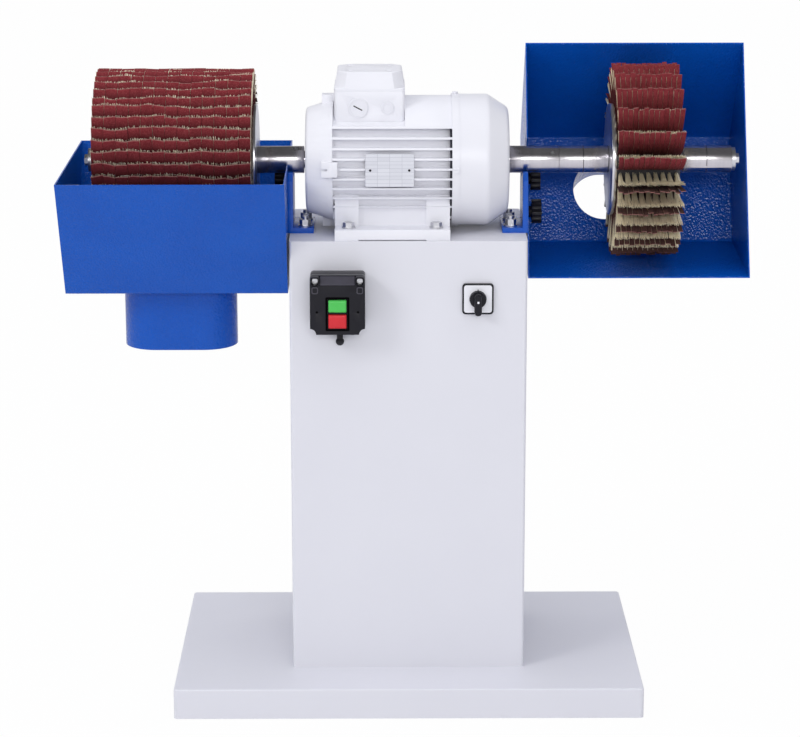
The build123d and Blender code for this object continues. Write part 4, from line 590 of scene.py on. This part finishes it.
def wound(tree, given, geometry, x, behind, share):
    """Wind a flat carpet round the shaft line. A carpet's point has its row and its place before or behind
    that row in Y, and its share of the way from root to tip in Z. Tips lean back, swell in waves and hang
    where the row points down to the front."""
    spot = add(tree, "ShaderNodeSeparateXYZ", add(tree, "GeometryNodeInputPosition"))
    row = add(tree, "ShaderNodeMath.ROUND", spot.outputs["Y"])
    lot = add(tree, "GeometryNodeInputNamedAttribute", "lot", data_type="INT")
    squared = add(tree, "ShaderNodeMath.MULTIPLY", share, share)
    step = add(tree, "ShaderNodeMath.DIVIDE", 2 * math.pi, given["Rows"])
    base = add(tree, "ShaderNodeMath.MULTIPLY_ADD", row, step, given["Phase"])
    # lean, with the waves and each piece's own stray
    along = add(tree, "ShaderNodeMath.MULTIPLY", x, WAVES_PER_METRE)
    round_about = add(tree, "ShaderNodeMath.MULTIPLY", row, WAVES_PER_ROW)
    field = add(tree, "ShaderNodeCombineXYZ", along, round_about, given["Seed"])
    swell = add(tree, "ShaderNodeTexNoise", field, Scale=1.0, Detail=2.0)
    swell = add(tree, "ShaderNodeMath.SUBTRACT", swell, NOISE_MIDDLE)
    own = add(tree, "FunctionNodeRandomValue", at_2=-1.0, at_3=1.0, ID=lot, Seed=given["Seed"])
    ripple = add(tree, "ShaderNodeMath.MULTIPLY_ADD", own.outputs[1], given["Stray"], swell)
    ripple = add(tree, "ShaderNodeMath.MULTIPLY", ripple, given["Wave"])
    ripple = add(tree, "ShaderNodeMath.DIVIDE", ripple, given["Tip"])
    lean = add(tree, "ShaderNodeMath.ADD", given["Lean"], ripple)
    lean = add(tree, "ShaderNodeMath.MULTIPLY", lean, squared)
    # hang, for rows below the shaft at the front
    height = add(tree, "ShaderNodeMath.COSINE", base)
    low = add(tree, "ShaderNodeMapRange", height, HANG_FROM, HANG_FULL, 0.0, 1.0)
    front = add(tree, "ShaderNodeMath.MAXIMUM", add(tree, "ShaderNodeMath.SINE", base), 0.0)
    hang = add(tree, "ShaderNodeMath.MULTIPLY", low, front)
    hang = add(tree, "ShaderNodeMath.MULTIPLY", hang, given["Droop"])
    hang = add(tree, "ShaderNodeMath.MULTIPLY", hang, add(tree, "ShaderNodeMath.MULTIPLY", squared, squared))
    lean = add(tree, "ShaderNodeMath.SUBTRACT", lean, hang)
    # length, different for each piece and in patches
    seed = add(tree, "ShaderNodeMath.ADD", given["Seed"], LENGTH_DRAW)
    longer = add(tree, "FunctionNodeRandomValue", at_2=-1.0, at_3=1.0, ID=lot, Seed=seed)
    other_field = add(tree, "ShaderNodeVectorMath.ADD", field, PATCH_FIELD_SHIFT)
    patch = add(tree, "ShaderNodeTexNoise", other_field, Scale=PATCH_FIELD_SCALE, Detail=3.0)
    patch = add(tree, "ShaderNodeMath.SUBTRACT", patch, NOISE_MIDDLE)
    reach = add(tree, "ShaderNodeMath.SUBTRACT", given["Tip"], given["Root"])
    reach = add(tree, "ShaderNodeMath.MULTIPLY_ADD", longer.outputs[1], given["Ragged"], reach)
    reach = add(tree, "ShaderNodeMath.MULTIPLY_ADD", patch, given["Patch"], reach)
    radius = add(tree, "ShaderNodeMath.MULTIPLY_ADD", reach, share, given["Root"])
    # place round the shaft line
    angle = add(tree, "ShaderNodeMath.ADD", base, add(tree, "ShaderNodeMath.DIVIDE", behind, radius))
    angle = add(tree, "ShaderNodeMath.SUBTRACT", angle, lean)
    sine = add(tree, "ShaderNodeMath.MULTIPLY", add(tree, "ShaderNodeMath.SINE", angle), radius)
    cosine = add(tree, "ShaderNodeMath.MULTIPLY", add(tree, "ShaderNodeMath.COSINE", angle), radius)
    across = add(tree, "ShaderNodeMath.MULTIPLY", sine, -1.0)
    # flare towards both ends
    middle = add(tree, "ShaderNodeMath.MULTIPLY_ADD", given["Width"], 0.5, given["Start"])
    outward = add(tree, "ShaderNodeMath.SUBTRACT", x, middle)
    outward = add(tree, "ShaderNodeMath.DIVIDE", outward, given["Width"])
    both_ends = add(tree, "ShaderNodeMath.MULTIPLY", given["Flare"], 2.0)
    outward = add(tree, "ShaderNodeMath.MULTIPLY", outward, both_ends)
    x = add(tree, "ShaderNodeMath.MULTIPLY_ADD", outward, squared, x)
    place = add(tree, "ShaderNodeCombineXYZ", x, across, cosine)
    place = add(tree, "ShaderNodeVectorMath.ADD", place, given["Shaft"])
    return add(tree, "GeometryNodeFlipFaces", add(tree, "GeometryNodeSetPosition", geometry, Position=place))


def laid_out(tree, count, position, one):
    """Instances of one shape on a carpet of points, made real, each point with its own number as its lot."""
    points = add(tree, "GeometryNodeMeshLine", Count=count)
    points = add(tree, "GeometryNodeSetPosition", points, Position=position)
    number = add(tree, "GeometryNodeInputIndex")
    points = add(
        tree, "GeometryNodeStoreNamedAttribute", points, Name="lot", Value=number,
        data_type="INT", domain="POINT",
    )
    laid = add(tree, "GeometryNodeInstanceOnPoints", points, Instance=one)
    return add(tree, "GeometryNodeRealizeInstances", laid)


def strip_tree():
    """Rows of slashed abrasive strips: each finger a bent, slightly twisted blade of cloth."""
    tree, given = node_group(
        "slashed_strips",
        {**WORKING_BODY, "Fingers": "Int", "Thickness": "Float", "Slit": "Float", "Twist": "Float",
         "Painted Shade": "Float", "Cloth": "Material", "Back": "Material", "Edge": "Material"},
    )
    index = add(tree, "GeometryNodeInputIndex")
    finger = add(tree, "ShaderNodeMath.MODULO", index, given["Fingers"])
    row = add(tree, "ShaderNodeMath.FLOOR", add(tree, "ShaderNodeMath.DIVIDE", index, given["Fingers"]))
    pitch = add(tree, "ShaderNodeMath.DIVIDE", given["Width"], given["Fingers"])
    middle = add(tree, "ShaderNodeMath.ADD", finger, 0.5)
    middle = add(tree, "ShaderNodeMath.MULTIPLY_ADD", middle, pitch, given["Start"])
    # one blade, which keeps which way each face looked before it is bent
    width = add(tree, "ShaderNodeMath.SUBTRACT", pitch, given["Slit"])
    size = add(tree, "ShaderNodeCombineXYZ", width, given["Thickness"], 1.0)
    blade = add(tree, "GeometryNodeMeshCube", size, *BLADE_POINTS)
    blade = add(tree, "GeometryNodeTransform", blade, Translation=(0.0, 0.0, 0.5))
    normal = add(tree, "ShaderNodeSeparateXYZ", add(tree, "GeometryNodeInputNormal"))
    facing = normal.outputs["Y"]
    blade = add(tree, "GeometryNodeStoreNamedAttribute", blade, Name="facing", Value=facing, domain="FACE")
    count = add(tree, "ShaderNodeMath.MULTIPLY", given["Rows"], given["Fingers"])
    carpet = laid_out(tree, count, add(tree, "ShaderNodeCombineXYZ", middle, row, 0.0), blade)
    # each finger's own middle and twist
    spot = add(tree, "ShaderNodeSeparateXYZ", add(tree, "GeometryNodeInputPosition"))
    share = spot.outputs["Z"]
    lot = add(tree, "GeometryNodeInputNamedAttribute", "lot", data_type="INT")
    own_finger = add(tree, "ShaderNodeMath.MODULO", lot, given["Fingers"])
    own_middle = add(tree, "ShaderNodeMath.ADD", own_finger, 0.5)
    own_middle = add(tree, "ShaderNodeMath.MULTIPLY_ADD", own_middle, pitch, given["Start"])
    off_middle = add(tree, "ShaderNodeMath.SUBTRACT", spot.outputs["X"], own_middle)
    seed = add(tree, "ShaderNodeMath.ADD", given["Seed"], TWIST_DRAW)
    twist = add(tree, "FunctionNodeRandomValue", at_2=-1.0, at_3=1.0, ID=lot, Seed=seed)
    twist = add(tree, "ShaderNodeMath.MULTIPLY", twist.outputs[1], given["Twist"])
    twist = add(tree, "ShaderNodeMath.MULTIPLY", twist, off_middle)
    own_row = add(tree, "ShaderNodeMath.ROUND", spot.outputs["Y"])
    behind = add(tree, "ShaderNodeMath.SUBTRACT", spot.outputs["Y"], own_row)
    behind = add(tree, "ShaderNodeMath.MULTIPLY_ADD", twist, share, behind)
    # painted shade that deepens from the tips towards the root, where the rows shade each other, and slits
    # that close towards the root
    shade_start = add(tree, "ShaderNodeMath.SUBTRACT", 1.0, given["Painted Shade"])
    painted_tip_light = add(tree, "ShaderNodeMapRange", share, shade_start, 1.0, LEAST_PAINTED_LIGHT, 1.0)
    carpet = add(tree, "GeometryNodeStoreNamedAttribute", carpet, Name="painted_tip_light", Value=painted_tip_light, domain="POINT")
    uncut = add(tree, "ShaderNodeMapRange", share, 0.0, 1.0, UNCUT_ROOT, 1.0)
    x = add(tree, "ShaderNodeMath.MULTIPLY_ADD", off_middle, uncut, own_middle)
    done = wound(tree, given, carpet, x, behind, share)
    facing = add(tree, "GeometryNodeInputNamedAttribute", "facing", data_type="FLOAT")
    grit_side = add(tree, "ShaderNodeMath.GREATER_THAN", facing, 0.5)
    bare_side = add(tree, "ShaderNodeMath.LESS_THAN", facing, -0.5)
    done = add(tree, "GeometryNodeSetMaterial", done, Material=given["Edge"])
    done = add(tree, "GeometryNodeSetMaterial", done, grit_side, given["Cloth"])
    done = add(tree, "GeometryNodeSetMaterial", done, bare_side, given["Back"])
    add(tree, "NodeGroupOutput", done)
    return tree


def brush_tree():
    """Rows of bristle tufts behind the strips: each fibre a thin three-sided spike, tapered to its tip."""
    tree, given = node_group(
        "bristle_rows",
        {**WORKING_BODY, "Tufts": "Int", "Fibres": "Int", "Fibre": "Float", "Offset": "Float",
         "Root Width": "Float", "Tip Width": "Float", "Root Depth": "Float", "Tip Depth": "Float",
         "Bristle": "Material"},
    )
    index = add(tree, "GeometryNodeInputIndex")
    in_row = add(tree, "ShaderNodeMath.MULTIPLY", given["Tufts"], given["Fibres"])
    row = add(tree, "ShaderNodeMath.FLOOR", add(tree, "ShaderNodeMath.DIVIDE", index, in_row))
    tuft = add(tree, "ShaderNodeMath.FLOOR", add(tree, "ShaderNodeMath.DIVIDE", index, given["Fibres"]))
    tuft = add(tree, "ShaderNodeMath.MODULO", tuft, given["Tufts"])
    pitch = add(tree, "ShaderNodeMath.DIVIDE", given["Width"], given["Tufts"])
    middle = add(tree, "ShaderNodeMath.ADD", tuft, 0.5)
    middle = add(tree, "ShaderNodeMath.MULTIPLY_ADD", middle, pitch, given["Start"])
    tip = add(tree, "ShaderNodeMath.MULTIPLY", given["Fibre"], FIBRE_TAPER)
    spike = add(
        tree, "GeometryNodeMeshCone", Vertices=3, Side_Segments=2, Depth=1.0, Radius_Top=tip,
        Radius_Bottom=given["Fibre"],
    )
    count = add(tree, "ShaderNodeMath.MULTIPLY", given["Rows"], in_row)
    carpet = laid_out(tree, count, add(tree, "ShaderNodeCombineXYZ", middle, row, 0.0), spike)
    # each fibre's own place in its tuft
    spot = add(tree, "ShaderNodeSeparateXYZ", add(tree, "GeometryNodeInputPosition"))
    share = spot.outputs["Z"]
    lot = add(tree, "GeometryNodeInputNamedAttribute", "lot", data_type="INT")
    seed = add(tree, "ShaderNodeMath.ADD", given["Seed"], SIDE_DRAW)
    sideways = add(tree, "FunctionNodeRandomValue", at_2=-0.5, at_3=0.5, ID=lot, Seed=seed)
    seed = add(tree, "ShaderNodeMath.ADD", given["Seed"], DEPTH_DRAW)
    rearward = add(tree, "FunctionNodeRandomValue", at_2=-1.0, at_3=0.0, ID=lot, Seed=seed)
    width = add(tree, "ShaderNodeMapRange", share, To_Min=given["Root Width"], To_Max=given["Tip Width"])
    depth = add(tree, "ShaderNodeMapRange", share, To_Min=given["Root Depth"], To_Max=given["Tip Depth"])
    x = add(tree, "ShaderNodeMath.MULTIPLY_ADD", sideways.outputs[1], width, spot.outputs["X"])
    own_row = add(tree, "ShaderNodeMath.ROUND", spot.outputs["Y"])
    behind = add(tree, "ShaderNodeMath.SUBTRACT", spot.outputs["Y"], own_row)
    behind = add(tree, "ShaderNodeMath.SUBTRACT", behind, given["Offset"])
    behind = add(tree, "ShaderNodeMath.MULTIPLY_ADD", rearward.outputs[1], depth, behind)
    done = wound(tree, given, carpet, x, behind, share)
    done = add(tree, "GeometryNodeSetMaterial", done, Material=given["Bristle"])
    add(tree, "NodeGroupOutput", done)
    return tree


def slotted_rim(slots, outer, phase):
    """Angles and radii round a drum with a slot for each strip."""
    rim = []
    half = STRIP_SLOT / 2 / outer
    pitch = 2 * math.pi / slots
    land = pitch - 2 * half
    for slot in range(slots):
        middle = slot * pitch + phase
        rim += [(middle - half, outer), (middle - half, outer - STRIP_ROOT)]
        rim += [(middle + half, outer - STRIP_ROOT), (middle + half, outer)]
        rim += [(middle + half + land * step / LAND_STEPS, outer) for step in range(1, LAND_STEPS)]
    return rim


def working_body(side, shape, strip, brush):
    """Strips, bristles and slotted drum skin of the roller or the wheel."""
    low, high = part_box(side + "_abrasive_strips")
    core_low, core_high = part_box(side + "_core")
    core = (core_high.z - core_low.z) / 2
    drum = core + BACKING
    tip = (high.z - low.z) / 2
    shape = {**shape, "Start": low.x, "Width": high.x - low.x, "Root": drum - STRIP_ROOT}
    shape.update({"Shaft": SHAFT_LINE, "Seed": SEED})
    strips = grown(strip_tree(), side + "_strips", {**shape, "Tip": tip, **CLOTH, **strip})
    piece_of(side + "_strip_rows", strips, "rotor", "abrasive_cloth", side + "_abrasive_strips")
    fibres = {**shape, "Tip": tip - BRUSH_SHORTFALL[side], **brush, "Bristle": FINISHES["brush_fibre"]}
    tufts = grown(brush_tree(), side + "_brush", fibres)
    piece_of(side + "_brush_rows", tufts, "rotor", "brush_fibre", side + "_bristles")
    rim = slotted_rim(shape["Rows"], drum, shape["Phase"])
    skin = sleeve(side + "_drum_skin", core_low.x, core_high.x, core, rim, FINISHES["laminations"])
    piece_of(side + "_drum_skin", skin, "rotor", "laminations")


# Small pieces of the motor and the arbor


def rating_plate():
    """The bare plate with softened edges, and its two rivets."""
    edge = 0.5 * MM
    corner = 2 * MM
    rivet_inset = 8 * MM
    rivet_mm = ((2.0, 0.0), (1.7, 0.6), (0.9, 1.0))
    low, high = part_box("rating_plate")
    middle = (low + high) / 2
    half = (high - low) / 2
    outer = rounded_loop(middle.x, middle.z, half.x, half.z, corner)
    inner = rounded_loop(middle.x, middle.z, half.x - edge, half.z - edge, corner - edge)
    sections = [(outer, high.y), (outer, low.y + edge), (inner, low.y)]
    finish = ruled_plate()
    panel("rating_plate_face", sections, "pedestal", "turned_aluminium", "rating_plate", finish=finish)
    for name, x in (("left", low.x + rivet_inset), ("right", high.x - rivet_inset)):
        sections = turned_sections(x, middle.z, low.y, rivet_mm)
        panel("rating_plate_rivet_" + name, sections, "pedestal", "black_plastic")


def terminal_plug_faces():
    """Raised rims on the blanking plugs, and a thin black strip as painted shade for the driver slot of the
    large one.
    """
    edge = 0.6 * MM
    rim_width = 2 * MM
    rim_rise = 1.2 * MM
    small = 10 * MM
    slot_half_length = 8 * MM
    slot_half_width = 0.9 * MM
    slot_corner = 0.8 * MM
    slot_turn = math.radians(-28)
    slot_rise = 0.3 * MM
    low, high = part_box("terminal_plugs")
    front = low.y
    z = (low.z + high.z) / 2
    large = (high.z - low.z) / 2
    for name, x, radius in (("large", low.x + large, large), ("small", high.x - small, small)):
        outer = disc(x, z, radius - edge)
        inner = disc(x, z, radius - edge - rim_width)
        sections = frame_sections(outer, inner, front, front - rim_rise)
        panel("terminal_plug_rim_" + name, sections, "pedestal", "grey_plastic", ring=True)
    # A thin black strip laid on the face: painted shade for the driver slot.
    slot = rounded_loop(low.x + large, z, slot_half_length, slot_half_width, slot_corner, slot_turn)
    panel("terminal_plug_slot_shade", [(slot, front), (slot, front - slot_rise)], "pedestal", "black_rubber")


def cowl_gap():
    """Dark air gap between the ends of the fins and the edge of the cowl."""
    outer = 101 * MM
    inner = 92 * MM
    depth = 3.5 * MM
    room = 0.1 * MM
    steps = 96
    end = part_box("motor_housing")[1].x
    ring = sleeve("cowl_gap", end - depth, end - room, inner, round_rim(outer, steps), UNLIT_GAP)
    piece_of("cowl_gap", ring, "pedestal", "black_plastic")


def sleeve_joints():
    """Dark lines where the sleeves and spacer rings on the right arbor meet."""
    places = [244.4 * MM, 283.9 * MM, 324.6 * MM, 444.4 * MM, 483.2 * MM]
    half_width = 0.5 * MM
    depth = 2 * MM
    proud = 0.05 * MM
    steps = 64
    low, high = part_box("wheel_spacers")
    radius = (high.z - low.z) / 2 + proud
    rim = round_rim(radius, steps)
    finish = FINISHES["black_rubber"]
    for number, x in enumerate(places):
        ring = sleeve("sleeve_joint", x - half_width, x + half_width, radius - depth, rim, finish)
        piece_of("sleeve_joint_%d" % number, ring, "rotor", "black_rubber")


# Switch gear


def starter_turrets():
    """Hollow screw turrets in the upper corners of the starter's cover, with a lug below each in a lighter
    black that paints its highlight.
    """
    inset = 8 * MM
    # half side, corner and sink of each loop of a turret
    turret_mm = ((7.6, 4.0, 14.0), (7.6, 4.0, 1.0), (7.0, 3.6, 0.0), (5.6, 3.0, 0.0), (5.6, 3.0, 14.0))
    lug_half_width = 5.2 * MM
    lug_half_height = 5.6 * MM
    lug_corner = 3 * MM
    lug_inner_corner = 2 * MM
    lug_wall = 1.6 * MM
    lug_drop = 21.5 * MM
    lug_rise = 0.8 * MM
    low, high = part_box("starter_cover")
    front = low.y
    for name, x in (("left", low.x + inset), ("right", high.x - inset)):
        sections = []
        for half, corner, sink in turret_mm:
            loop = rounded_loop(x, high.z - inset, half * MM, half * MM, corner * MM)
            sections.append((loop, front + sink * MM))
        panel("starter_turret_" + name, sections, "pedestal", "black_plastic", ring=True)
        z = high.z - lug_drop
        outer = rounded_loop(x, z, lug_half_width, lug_half_height, lug_corner)
        inner = rounded_loop(x, z, lug_half_width - lug_wall, lug_half_height - lug_wall, lug_inner_corner)
        sections = frame_sections(outer, inner, front, front - lug_rise)
        panel("starter_lug_" + name, sections, "pedestal", "black_plastic", finish=PAINTED_HIGHLIGHT_BLACK, ring=True)


def starter_band():
    """Slope between the turrets, in a lighter black that paints the highlight where it faces the light."""
    drop = 13 * MM
    corner = 0.5 * MM
    deep_half = 6 * MM
    edge_half = 0.8 * MM
    edge_sink = 0.6 * MM
    edge_rise = 0.3 * MM
    side_room = 16 * MM
    low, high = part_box("starter_cover")
    front = low.y
    lower = high.z - drop
    middle = (low.x + high.x) / 2
    half = (high.x - low.x) / 2 - side_room
    deep = rounded_loop(middle, lower + deep_half, half, deep_half, corner)
    edge = rounded_loop(middle, lower + edge_half, half, edge_half, corner)
    sections = [(deep, front + drop), (edge, front + edge_sink), (edge, front - edge_rise)]
    panel("starter_band", sections, "pedestal", "black_plastic", finish=PAINTED_HIGHLIGHT_BLACK)


def button_frame():
    """Matt black frame round both buttons, kept near black as painted shade of the recess round them, and a
    dark disc of painted shade in the blind hole on either side.
    """
    rise = 1.2 * MM
    room = 0.2 * MM
    side_bar = 3.2 * MM
    end_bar = 2.6 * MM
    outer_corner = 1.5 * MM
    inner_corner = 0.5 * MM
    hole_shade_radius = 1.9 * MM
    hole_shade_inset = 11 * MM
    hole_shade_drop = 10 * MM
    hole_shade_sink = 0.5 * MM
    hole_shade_rise = 0.1 * MM
    low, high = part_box("starter_cover")
    start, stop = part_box("start_button"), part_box("stop_button")
    front = low.y
    x = (start[0].x + start[1].x) / 2
    top, bottom = start[1].z, stop[0].z
    z = (top + bottom) / 2
    half = (start[1].x - start[0].x) / 2
    tall = (top - bottom) / 2
    outer = rounded_loop(x, z, half + side_bar, tall + end_bar, outer_corner)
    inner = rounded_loop(x, z, half + room, tall + room, inner_corner)
    sections = frame_sections(outer, inner, front, front - rise)
    panel("starter_button_frame", sections, "pedestal", "black_rubber", finish=BLACK_GASKET_AND_SHADE, ring=True)
    middle = (low.x + high.x) / 2
    hole_shade_x = (high.x - low.x) / 2 - hole_shade_inset
    hole_shade_z = (low.z + high.z) / 2 - hole_shade_drop
    for name, x in (("left", middle - hole_shade_x), ("right", middle + hole_shade_x)):
        hole_shade = disc(x, hole_shade_z, hole_shade_radius)
        sections = [(hole_shade, front + hole_shade_sink), (hole_shade, front - hole_shade_rise)]
        panel("starter_hole_shade_" + name, sections, "pedestal", "black_rubber", finish=BLACK_GASKET_AND_SHADE)


def button_caps():
    """Pillowed push buttons with a narrow dark gap round each."""
    corner = 1.5 * MM
    side_gap = 1.2 * MM
    end_gap = 1.8 * MM
    # inset and sink of each loop of a cap, from its side to its crown
    pillow_mm = ((0.0, 2.6), (0.5, 1.2), (1.5, 0.4), (3.4, 0.0))
    for button, slot in (("start_button", "green_plastic"), ("stop_button", "red_plastic")):
        low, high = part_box(button)
        middle = (low + high) / 2
        half = (high - low) / 2
        wide = half.x - side_gap
        tall = half.z - end_gap
        sections = [(rounded_loop(middle.x, middle.z, wide, tall, corner), high.y)]
        for inset, sink in pillow_mm:
            loop = rounded_loop(middle.x, middle.z, wide - inset * MM, tall - inset * MM, corner)
            sections.append((loop, low.y + sink * MM))
        panel(button + "_cap", sections, button, slot, button)


def selector_field():
    """White field in the dark frame of the selector, open round its knob."""
    frame_edge_mm = 0.5
    half = 22.3 * MM
    corner = 4 * MM
    hole_radius = 13.8 * MM
    back_sink = 1.0 * MM
    face_sink = 0.3 * MM
    softened("selector_plate", frame_edge_mm, "black_plastic")
    low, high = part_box("selector_plate")
    x = (low.x + high.x) / 2
    z = (low.z + high.z) / 2
    square = rounded_loop(x, z, half, half, corner)
    hole = disc(x, z, hole_radius)
    sections = frame_sections(square, hole, low.y + back_sink, low.y + face_sink)
    panel("selector_field", sections, "pedestal", "white_plastic", ring=True)


def selector_knob():
    """Knob of the selector: round hub, long grip, pointed nose and index dot."""
    seat_sink = 0.9 * MM
    hub_mm = ((13.3, 0.0), (13.3, 8.6), (12.2, 10.0))
    # half width, half height and rise of each loop of the grip
    grip_mm = ((6.2, 17.5, 9.5), (5.8, 17.2, 20.4), (4.6, 16.0, 22.0))
    grip_drop = 6.5 * MM
    grip_roundness = 0.9
    nose_half_width = 2.4 * MM
    nose_root = 12.4 * MM
    nose_tip = 16 * MM
    nose_room = 0.3 * MM
    nose_rise = 8 * MM
    dot_radius = 1.8 * MM
    dot_drop = 1.5 * MM
    dot_seat = 22 * MM
    dot_face = 22.3 * MM
    low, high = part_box("selector_plate")
    x = (low.x + high.x) / 2
    z = (low.z + high.z) / 2
    seat = low.y + seat_sink
    hub = turned_sections(x, z, seat, hub_mm)
    panel("selector_hub", hub, "selector_knob", "black_plastic", "selector_knob")
    grip = []
    for wide, tall, rise in grip_mm:
        loop = rounded_loop(x, z - grip_drop, wide * MM, tall * MM, wide * MM * grip_roundness)
        grip.append((loop, seat - rise * MM))
    panel("selector_grip", grip, "selector_knob", "black_plastic")
    nose = [(x - nose_half_width, z + nose_root), (x + nose_half_width, z + nose_root), (x, z + nose_tip)]
    sections = [(nose, seat - nose_room), (nose, seat - nose_rise)]
    panel("selector_nose", sections, "selector_knob", "black_plastic")
    dot = disc(x, z - dot_drop, dot_radius)
    sections = [(dot, seat - dot_seat), (dot, seat - dot_face)]
    panel("selector_index_dot", sections, "selector_knob", "white_plastic")


# Floor, light and camera


def floor():
    """Pale floor that keeps the machine's shadow and runs into a white background."""
    half_size = 40.0
    white_share = 0.97
    made, tree, _ = start_material("pale_floor")
    seen = add(tree, "ShaderNodeLightPath")
    plain = add(tree, "ShaderNodeBsdfDiffuse", srgb("#E4E4E6"))
    white = add(tree, "ShaderNodeEmission", WHITE, 1.0)
    part = add(tree, "ShaderNodeMath.MULTIPLY", seen.outputs["Is Camera Ray"], white_share)
    add(tree, "ShaderNodeOutputMaterial", add(tree, "ShaderNodeMixShader", part, plain, white))
    work = bmesh.new()
    bmesh.ops.create_grid(work, x_segments=1, y_segments=1, size=half_size)
    mesh = bpy.data.meshes.new("floor")
    work.to_mesh(mesh)
    work.free()
    mesh.materials.append(made)
    ground = bpy.data.objects.new("floor", mesh)
    bpy.context.scene.collection.objects.link(ground)


def world():
    """Studio light from all round, fuller overhead. The camera sees white, and reflections see the same
    white all round the horizon under a dim ceiling."""
    made = bpy.data.worlds.new("studio")
    made.use_nodes = True
    tree = made.node_tree
    tree.nodes.clear()
    seen = add(tree, "ShaderNodeLightPath")
    way = add(tree, "ShaderNodeSeparateXYZ", add(tree, "ShaderNodeTexCoord").outputs["Generated"])
    height = way.outputs["Z"]
    mirrored = add(tree, "ShaderNodeMapRange", height, From_Min=0.15, From_Max=0.45, To_Min=0.8, To_Max=0.06)
    overhead = add(tree, "ShaderNodeMapRange", height, From_Min=0.35, From_Max=1.0, To_Min=0.28, To_Max=1.75)
    soft = add(tree, "ShaderNodeBackground", srgb("#F0F1F6"), overhead)
    mirror = add(tree, "ShaderNodeBackground", WHITE, mirrored)
    white = add(tree, "ShaderNodeBackground", WHITE, 1.0)
    lit = add(tree, "ShaderNodeMixShader", seen.outputs["Is Glossy Ray"], soft, mirror)
    through = seen.outputs["Is Transmission Ray"]
    clear = add(tree, "ShaderNodeMath.MAXIMUM", seen.outputs["Is Camera Ray"], through)
    add(tree, "ShaderNodeOutputWorld", add(tree, "ShaderNodeMixShader", clear, lit, white))
    bpy.context.scene.world = made


def lamp(name, place, width, height, power):
    """A soft box that faces the motor."""
    light = bpy.data.lights.new(name, "AREA")
    light.shape = "RECTANGLE"
    light.size = width
    light.size_y = height
    light.energy = power
    stand = bpy.data.objects.new(name, light)
    stand.location = place
    stand.rotation_euler = (SHAFT - Vector(place)).to_track_quat("-Z", "Y").to_euler()
    bpy.context.scene.collection.objects.link(stand)


def camera(place, turn_degrees, lens_mm):
    """The photograph's viewpoint: a long lens a little above the shaft line."""
    lens = bpy.data.cameras.new("camera")
    lens.lens = lens_mm
    lens.sensor_width = 36.0
    lens.sensor_fit = "HORIZONTAL"
    lens.clip_end = 100.0
    view = bpy.data.objects.new("camera", lens)
    view.location = place
    view.rotation_euler = [math.radians(angle) for angle in turn_degrees]
    bpy.context.scene.collection.objects.link(view)
    bpy.context.scene.camera = view


for node, solid in NODES.items():
    solid.data.materials.clear()
    solid.data.materials.append(FINISHES[SLOT_OF[node]])
NODES["motor_screws"].data.materials[0] = FINISHES["motor_casting"]
for node, width_mm in SOFT_EDGES_MM.items():
    softened(node, width_mm)
rating_plate()
terminal_plug_faces()
cowl_gap()
sleeve_joints()
starter_turrets()
starter_band()
button_frame()
button_caps()
selector_field()
selector_knob()
working_body("roller", ROLLER, ROLLER_STRIP, ROLLER_BRUSH)
working_body("wheel", WHEEL, WHEEL_STRIP, WHEEL_BRUSH)
floor()
world()
lamp("front_box", place=(0.45, -6.6, 2.8), width=2.8, height=1.1, power=98)
lamp("key_box", place=(-4.8, -4.2, 4.0), width=2.2, height=2.2, power=108)
camera(place=(-0.0361, -4.3861, 1.5859), turn_degrees=(76.365, 0.04, -0.315), lens_mm=122.2)
bpy.context.scene.view_settings.view_transform = "Standard"
